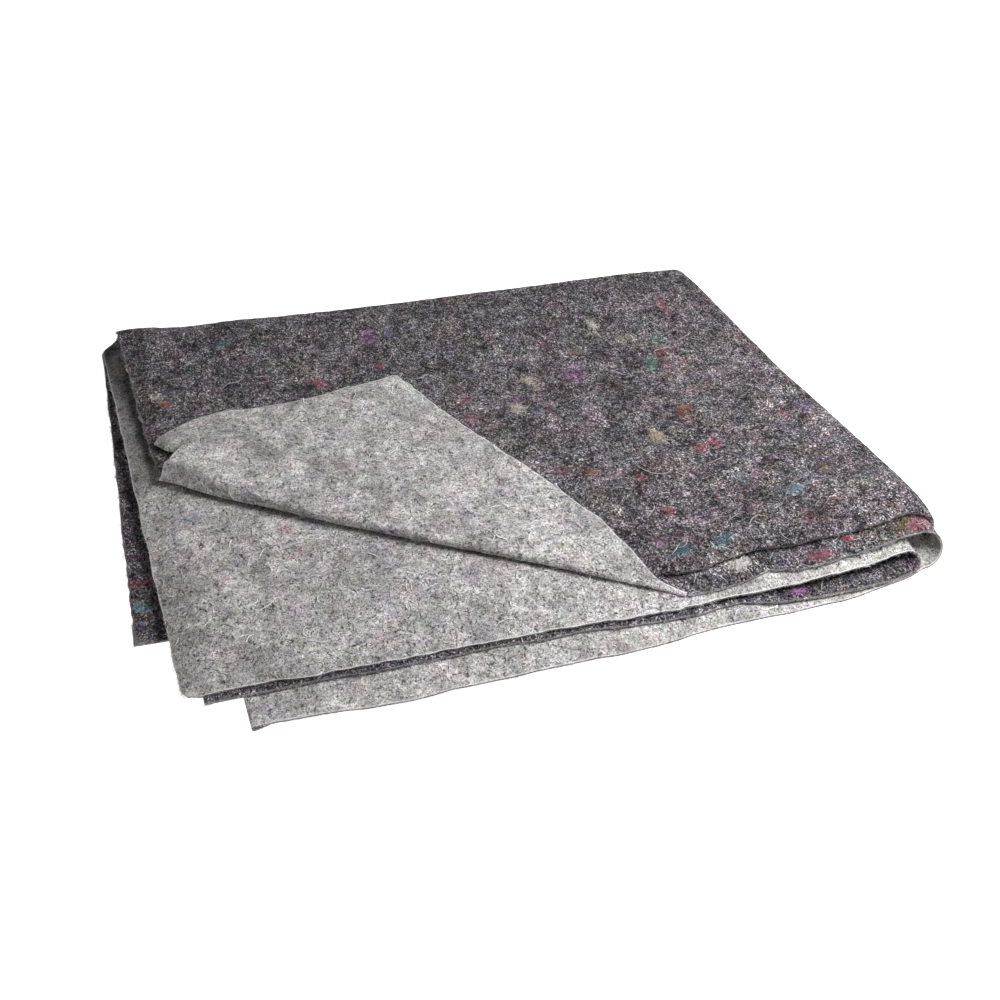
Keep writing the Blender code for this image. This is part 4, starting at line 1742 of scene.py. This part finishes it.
@dataclass
class LooseFibre:
    """The fibre that stands off the felt: on both faces and along the cut edges."""

    sheet: FoldedSheet
    body: Patch
    flap: Patch
    tuft_spread: float = 0.55
    tuft_curl: float = 0.55
    tuft_reach: float = 0.007

    def scatter(self, strands: Strands, patch: Patch, face: Face, cells: Array,
                counts: dict[StrandKind, int]) -> None:
        """Scatter strands evenly over the cells of a patch that are marked, kind by kind.

        Args:
            strands: the set to add to.
            patch: the part of the cloth.
            face: the face they lie on.
            cells: which quads are used.
            counts: number of strands of each kind.
        """
        weight = patch.cell_areas() * cells
        weight = (weight / weight.sum()).ravel()
        for kind, count in counts.items():
            pick = strands.rng.choice(weight.size, count, p=weight)
            i = pick // cells.shape[1] + strands.rng.uniform(0.0, 1.0, count)
            j = pick % cells.shape[1] + strands.rng.uniform(0.0, 1.0, count)
            strands.grow(patch, face, self.sheet.shown / 2, i, j, kind)

    def cell_marks(self, patch: Patch, lines: slice, points: slice) -> Array:
        """Mark the quads in a range of the grid.

        Args:
            patch: the part of the cloth.
            lines: range along the first direction.
            points: range along the second direction.
        Returns:
            1 for the quads in the range, else 0.
        """
        marks = np.zeros((patch.points.shape[0] - 1, patch.points.shape[1] - 1))
        marks[lines, points] = 1.0
        return marks

    def in_front_of_peel(self, patch: Patch, margin: float) -> Array:
        """Mark the quads that lie in front of the peel line or left of layer 1.

        Args:
            patch: the part of the cloth.
            margin: how far behind the line they may lie.
        Returns:
            1 for those quads, else 0.
        """
        start, _, behind = self.sheet.peel
        flat = patch.points[:-1, :-1, :2] - self.sheet.origin[:2]
        return ((flat - start) @ behind < margin).astype(float)

    def build(self) -> list[bpy.types.Object]:
        """Make the sets of strands.

        Returns:
            The pieces, each one mesh.
        """
        sheet, body, flap = self.sheet, self.body, self.flap
        finish = FibreFinish().build()
        first = sheet.columns[0]
        rows = len(sheet.first_rows)
        total = body.points.shape[1] - 1
        second = rows + sheet.back_steps - 2

        dark = Strands("loose_fibre_dark_face", 11)
        top = self.cell_marks(body, slice(0, first + 9), slice(0, rows + 4))
        self.scatter(dark, body, Face.DARK, top, {
            PALE_HAIR: 1200, SHORT_HAIR: 2400, DARK_HAIR: 800, BRIGHT_CURL: 200})
        front = slice(0, sheet.front_rows + sheet.tuck_rows + 8)
        near_front = self.cell_marks(body, slice(first // 2, first), front)
        self.scatter(dark, body, Face.DARK, near_front, {BRIGHT_CURL: 80})
        self.place_curls(dark, Face.DARK, TOP_CURLS, slice(0, first), slice(0, rows))
        self.scatter(dark, body, Face.DARK, top, {NIP: 900})

        pale = Strands("loose_fibre_pale_face", 12)
        under = self.cell_marks(body, slice(0, first), slice(second, total))
        under = under * self.in_front_of_peel(body, 0.01)
        self.scatter(pale, body, Face.PALE, under, {
            PALE_HAIR: 700, SHORT_HAIR: 900, DARK_HAIR: 500, PALE_CURL: 120})
        self.place_curls(pale, Face.PALE, LOWER_CURLS, slice(0, first),
                         slice(second + 1, total + 1))
        whole = self.cell_marks(flap, slice(0, None), slice(0, None))
        self.scatter(pale, flap, Face.PALE, whole, {
            PALE_HAIR: 450, SHORT_HAIR: 600, DARK_HAIR: 300, PALE_CURL: 130})
        self.scatter(pale, body, Face.PALE, under, {NIP: 350})
        self.scatter(pale, flap, Face.PALE, whole, {NIP: 250})

        lower = slice(first + sheet.fold_steps - 1, first + sheet.fold_steps - 2 + sheet.columns[1])
        # Strips of the layers below that show at the front, right and left
        strips = (
            (pale, Face.PALE, lower, front, 200, 60),
            (pale, Face.PALE, slice(first // 2, first - 1), slice(total - 8, total), 70, 15),
            (dark, Face.DARK, lower, slice(total - 10, total), 90, 6),
            (dark, Face.DARK, slice(-3, None), slice(second, total), 110, 6),
        )
        for strands, face, lines, points, hairs, curls in strips:
            strip = self.cell_marks(body, lines, points)
            self.scatter(strands, body, face, strip, {
                PALE_HAIR: hairs, SHORT_HAIR: hairs, NIP: hairs // 2, PALE_CURL: curls})
        self.place_curls(pale, Face.PALE, FOURTH_CURLS, lower, slice(0, rows))

        frayed = Strands("frayed_cut_edges", 13)
        self.fray_edges(frayed)
        tufts = Strands("lint_tufts", 14)
        self.lay_lint(tufts)
        sets = (dark, pale, frayed, tufts)
        return [strands.build(finish) for strands in sets]

    def place_curls(self, strands: Strands, face: Face, curls: Sequence[Curl], lines: slice,
                    points: slice) -> None:
        """Lay the listed curls on one layer of the cloth.

        Args:
            strands: the set to add to.
            face: the face they lie on.
            curls: the curls.
            lines: the layer's range in the grid's first direction.
            points: the layer's range in the second.
        """
        origin = self.sheet.origin
        found = [self.body.find((curl.x + origin[0], curl.y + origin[1]), lines, points)
                 for curl in curls]
        i, j = np.array(found).T
        kind = BRIGHT_CURL if face is Face.DARK else PALE_CURL
        strands.grow(self.body, face, self.sheet.shown / 2, i, j, kind, curls)

    def lay_lint(self, strands: Strands) -> None:
        """Lay the listed tufts: strands whose roots gather round each tuft's middle.

        Args:
            strands: the set to add to.
        """
        half = self.sheet.shown / 2
        for placed in self.sheet.lint_places(self.body):
            tuft, rng = placed.lint, strands.rng
            if not tuft.strands:
                continue
            turn = math.radians(tuft.turn)
            spread = rng.normal(0.0, self.tuft_spread, (2, tuft.strands))
            along, across = spread[0] * tuft.long, spread[1] * tuft.wide
            move = np.stack([along * math.cos(turn) - across * math.sin(turn),
                             along * math.sin(turn) + across * math.cos(turn),
                             np.zeros(tuft.strands)], axis=-1)
            middle = np.full(tuft.strands, placed.i), np.full(tuft.strands, placed.j)
            i, j = self.body.walk(*middle, move)
            size = min(0.9 * tuft.long, self.tuft_reach)
            tall = tuft.lift > 1.0 * MM
            radii = (0.15 * MM, 0.32 * MM) if tall else (0.09 * MM, 0.19 * MM)
            dyes = (tuft.dye.value,) if tall else (tuft.dye.value, tuft.dye.value, "#8d868a")
            kind = StrandKind(6, (0.6 * size, 1.5 * size), radii, self.tuft_curl, tuft.lift,
                              dyes)
            strands.grow(self.body, placed.face, half, i, j, kind)

    def fray_edges(self, strands: Strands) -> None:
        """Fray every cut edge of the cloth: both long edges, both ends and the flap's.

        Args:
            strands: the set to add to.
        """
        half = self.sheet.shown / 2
        body, flap = self.body, self.flap
        edges = (
            (body.points[:, 0], body.points[:, 1], body.normals[:, 0], 2200, 150),
            (body.points[:, -1], body.points[:, -2], body.normals[:, -1], 1850, 480),
            (body.points[0], body.points[1], body.normals[0], 1050, 380),
            (body.points[-1], body.points[-2], body.normals[-1], 400, 60),
            (flap.points[:, 0], flap.points[:, 1], flap.normals[:, 0], 650, 180),
            (flap.points[0], flap.points[1], flap.normals[0], 150, 110),
        )
        for line, inner, normal, count, bright in edges:
            out = line - inner
            out = out / np.maximum(np.linalg.norm(out, axis=-1, keepdims=True), 1e-9)
            strands.fray(line, out, normal, half, count, EDGE_HAIR)
            strands.fray(line, out, normal, half, bright, RIM_HAIR)


@dataclass
class FeltSheet:
    """The cloth itself as a piece: its patches joined, made thick and given its faces."""

    sheet: FoldedSheet
    weld: float = 0.00002
    rim_round: float = 0.0005
    rim_angle: float = math.radians(60.0)

    def build(self) -> tuple[bpy.types.Object, Patch, Patch]:
        """Make the felt's mesh and dress its two faces and its cut edge.

        Returns:
            The piece, and the body's and the flap's patches.
        """
        body = self.sheet.body_patch()
        lines = self.sheet.flap_lines()
        flap = self.sheet.flap_patch(lines)
        tongue = self.sheet.tongue_patch(lines)
        vertices, faces, base = [], [], 0
        for patch in (body, flap, tongue):
            vertices.append(patch.points.reshape(-1, 3))
            faces.append(patch.faces(base))
            base += patch.points.shape[0] * patch.points.shape[1]
        mesh = bpy.data.meshes.new("felt_sheet")
        mesh.from_pydata(np.concatenate(vertices).tolist(), [], np.concatenate(faces).tolist())
        for finish in (DARK_FELT, PALE_FELT, CUT_FELT):
            mesh.materials.append(finish.build())
        self.mark(mesh, body, flap, tongue)
        mesh.shade_smooth()
        piece = place_object("felt_sheet", mesh)

        join = piece.modifiers.new("join", "WELD")
        join.merge_threshold = self.weld
        thick = piece.modifiers.new("thickness", "SOLIDIFY")
        thick.thickness = self.sheet.shown
        thick.offset = 0.0
        thick.material_offset = 1
        thick.material_offset_rim = 2
        soft = piece.modifiers.new("soft_rim", "BEVEL")
        soft.width = self.rim_round
        soft.segments = 2
        soft.limit_method = "ANGLE"
        soft.angle_limit = self.rim_angle
        soft.material = -1
        return piece, body, flap

    def mark(self, mesh: bpy.types.Mesh, body: Patch, flap: Patch, tongue: Patch) -> None:
        """Give each point its distance from the cut edge, which places the painted edge highlight,
        and the colour of the tufts and of the painted shade on it.

        Args:
            mesh: the felt's mesh, with the patches' points in order.
            body: the cloth's main patch.
            flap: the peeled corner.
            tongue: the small tongue left of it.
        """
        others = np.minimum.reduce([body.reach(0), body.reach(0, True), body.reach(1, True)])
        edges = np.minimum(others, body.reach(1))
        columns = self.sheet.columns[0]
        rolled = np.zeros(len(body.points), bool)
        rolled[:columns] = self.sheet.peel_cut(np.linspace(0.0, 1.0, columns)) > 0.0
        edges[rolled] = others[rolled]
        flap_edges = np.minimum(flap.reach(0), flap.reach(1))
        tongue_edges = np.minimum(tongue.reach(0, True), tongue.reach(1, True))
        distance = np.concatenate([part.ravel() for part in (edges, flap_edges, tongue_edges)])
        add_attribute(mesh, "edge_distance", distance)
        for name, face in (("dark_face_lint", Face.DARK), ("pale_face_lint_and_shade", Face.PALE)):
            tint = np.zeros((len(distance), 4), np.float32)
            dyed = self.sheet.lint_and_shade_tint(body, face).reshape(-1, 4)
            tint[:len(dyed)] = dyed
            add_attribute(mesh, name, tint)


@dataclass
class Studio:
    """Plain pale floor, soft light and the camera at the photograph's angle."""

    camera_place: tuple[float, float, float] = (-0.2377, -0.9954, 0.7445)
    camera_pitch: float = 37.474
    camera_yaw: float = -14.025
    lens: float = 50.0
    sensor: float = 36.0
    sky: float = 0.15
    key: float = 14.3
    key_place: tuple[float, float, float] = (0.72, -0.33, 0.88)
    key_aim: tuple[float, float, float] = (0.05, 0.0, 0.0)
    key_size: float = 0.6
    floor_size: float = 6.0
    floor_roughness: float = 0.9
    floor_specular: float = 0.1
    floor_glow: float = 0.95

    def camera(self) -> None:
        """Make the camera and give it to the scene."""
        data = bpy.data.cameras.new("view")
        data.lens = self.lens
        data.sensor_width = self.sensor
        data.clip_start = 0.01
        camera = place_object("view", data)
        camera.location = self.camera_place
        camera.rotation_euler = (math.radians(90.0 - self.camera_pitch), 0.0,
                                 math.radians(self.camera_yaw))
        bpy.context.scene.camera = camera

    def floor(self) -> None:
        """Make the floor: matt white board."""
        size = self.floor_size
        mesh = bpy.data.meshes.new("floor")
        corners = [(-size, -size, 0.0), (size, -size, 0.0), (size, size, 0.0), (-size, size, 0.0)]
        mesh.from_pydata(corners, [], [(0, 1, 2, 3)])
        material, _ = new_material(
            "matt_white_board", Base_Color=linear("#f4f4f4"), Roughness=self.floor_roughness,
            Specular_IOR_Level=self.floor_specular, Emission_Color=(1.0, 1.0, 1.0, 1.0),
            Emission_Strength=self.floor_glow)
        mesh.materials.append(material)
        floor = place_object("floor", mesh)

    def lamp(self, name: str, place: tuple[float, float, float], aim: tuple[float, float, float],
             size: float, power: float) -> None:
        """Add a square soft light that looks at a point.

        Args:
            name: the light's name.
            place: where it stands.
            aim: the point that it looks at.
            size: length of its side.
            power: its power in watts.
        """
        data = bpy.data.lights.new(name, "AREA")
        data.shape = "SQUARE"
        data.size = size
        data.energy = power
        lamp = place_object(name, data)
        lamp.location = place
        way = np.array(place) - np.array(aim)
        flat = math.hypot(way[0], way[1])
        lamp.rotation_euler = (math.atan2(flat, way[2]), 0.0, math.atan2(way[0], -way[1]))

    def light(self) -> None:
        """Set the sky's even light and the lamps, and plain colour reproduction."""
        scene = bpy.context.scene
        world = bpy.data.worlds.new("even_sky")
        world.use_nodes = True
        set_inputs(world.node_tree.nodes["Background"], Color=(1.0, 1.0, 1.0, 1.0),
                   Strength=self.sky)
        scene.world = world
        scene.view_settings.view_transform = "Standard"
        self.lamp("key", self.key_place, self.key_aim, self.key_size, self.key)

    def build(self) -> None:
        """Set up the camera, floor and light."""
        self.camera()
        self.floor()
        self.light()


def main() -> None:
    """Load the frame, build the felt and its fibre, and report each piece."""
    logging.basicConfig(level=logging.INFO, format="%(name)s: %(message)s")
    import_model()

    sheet = FoldedSheet()
    piece, body, flap = FeltSheet(sheet).build()
    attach(piece, "root")
    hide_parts("dust_sheet")
    LOG.info("%s: %d middle points", piece.name, len(piece.data.vertices))

    fibres = LooseFibre(sheet, body, flap).build()
    for strand in fibres:
        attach(strand, "root")
        LOG.info("%s: %d faces", strand.name, len(strand.data.polygons))

    Studio().build()


if __name__ == "__main__":
    main()
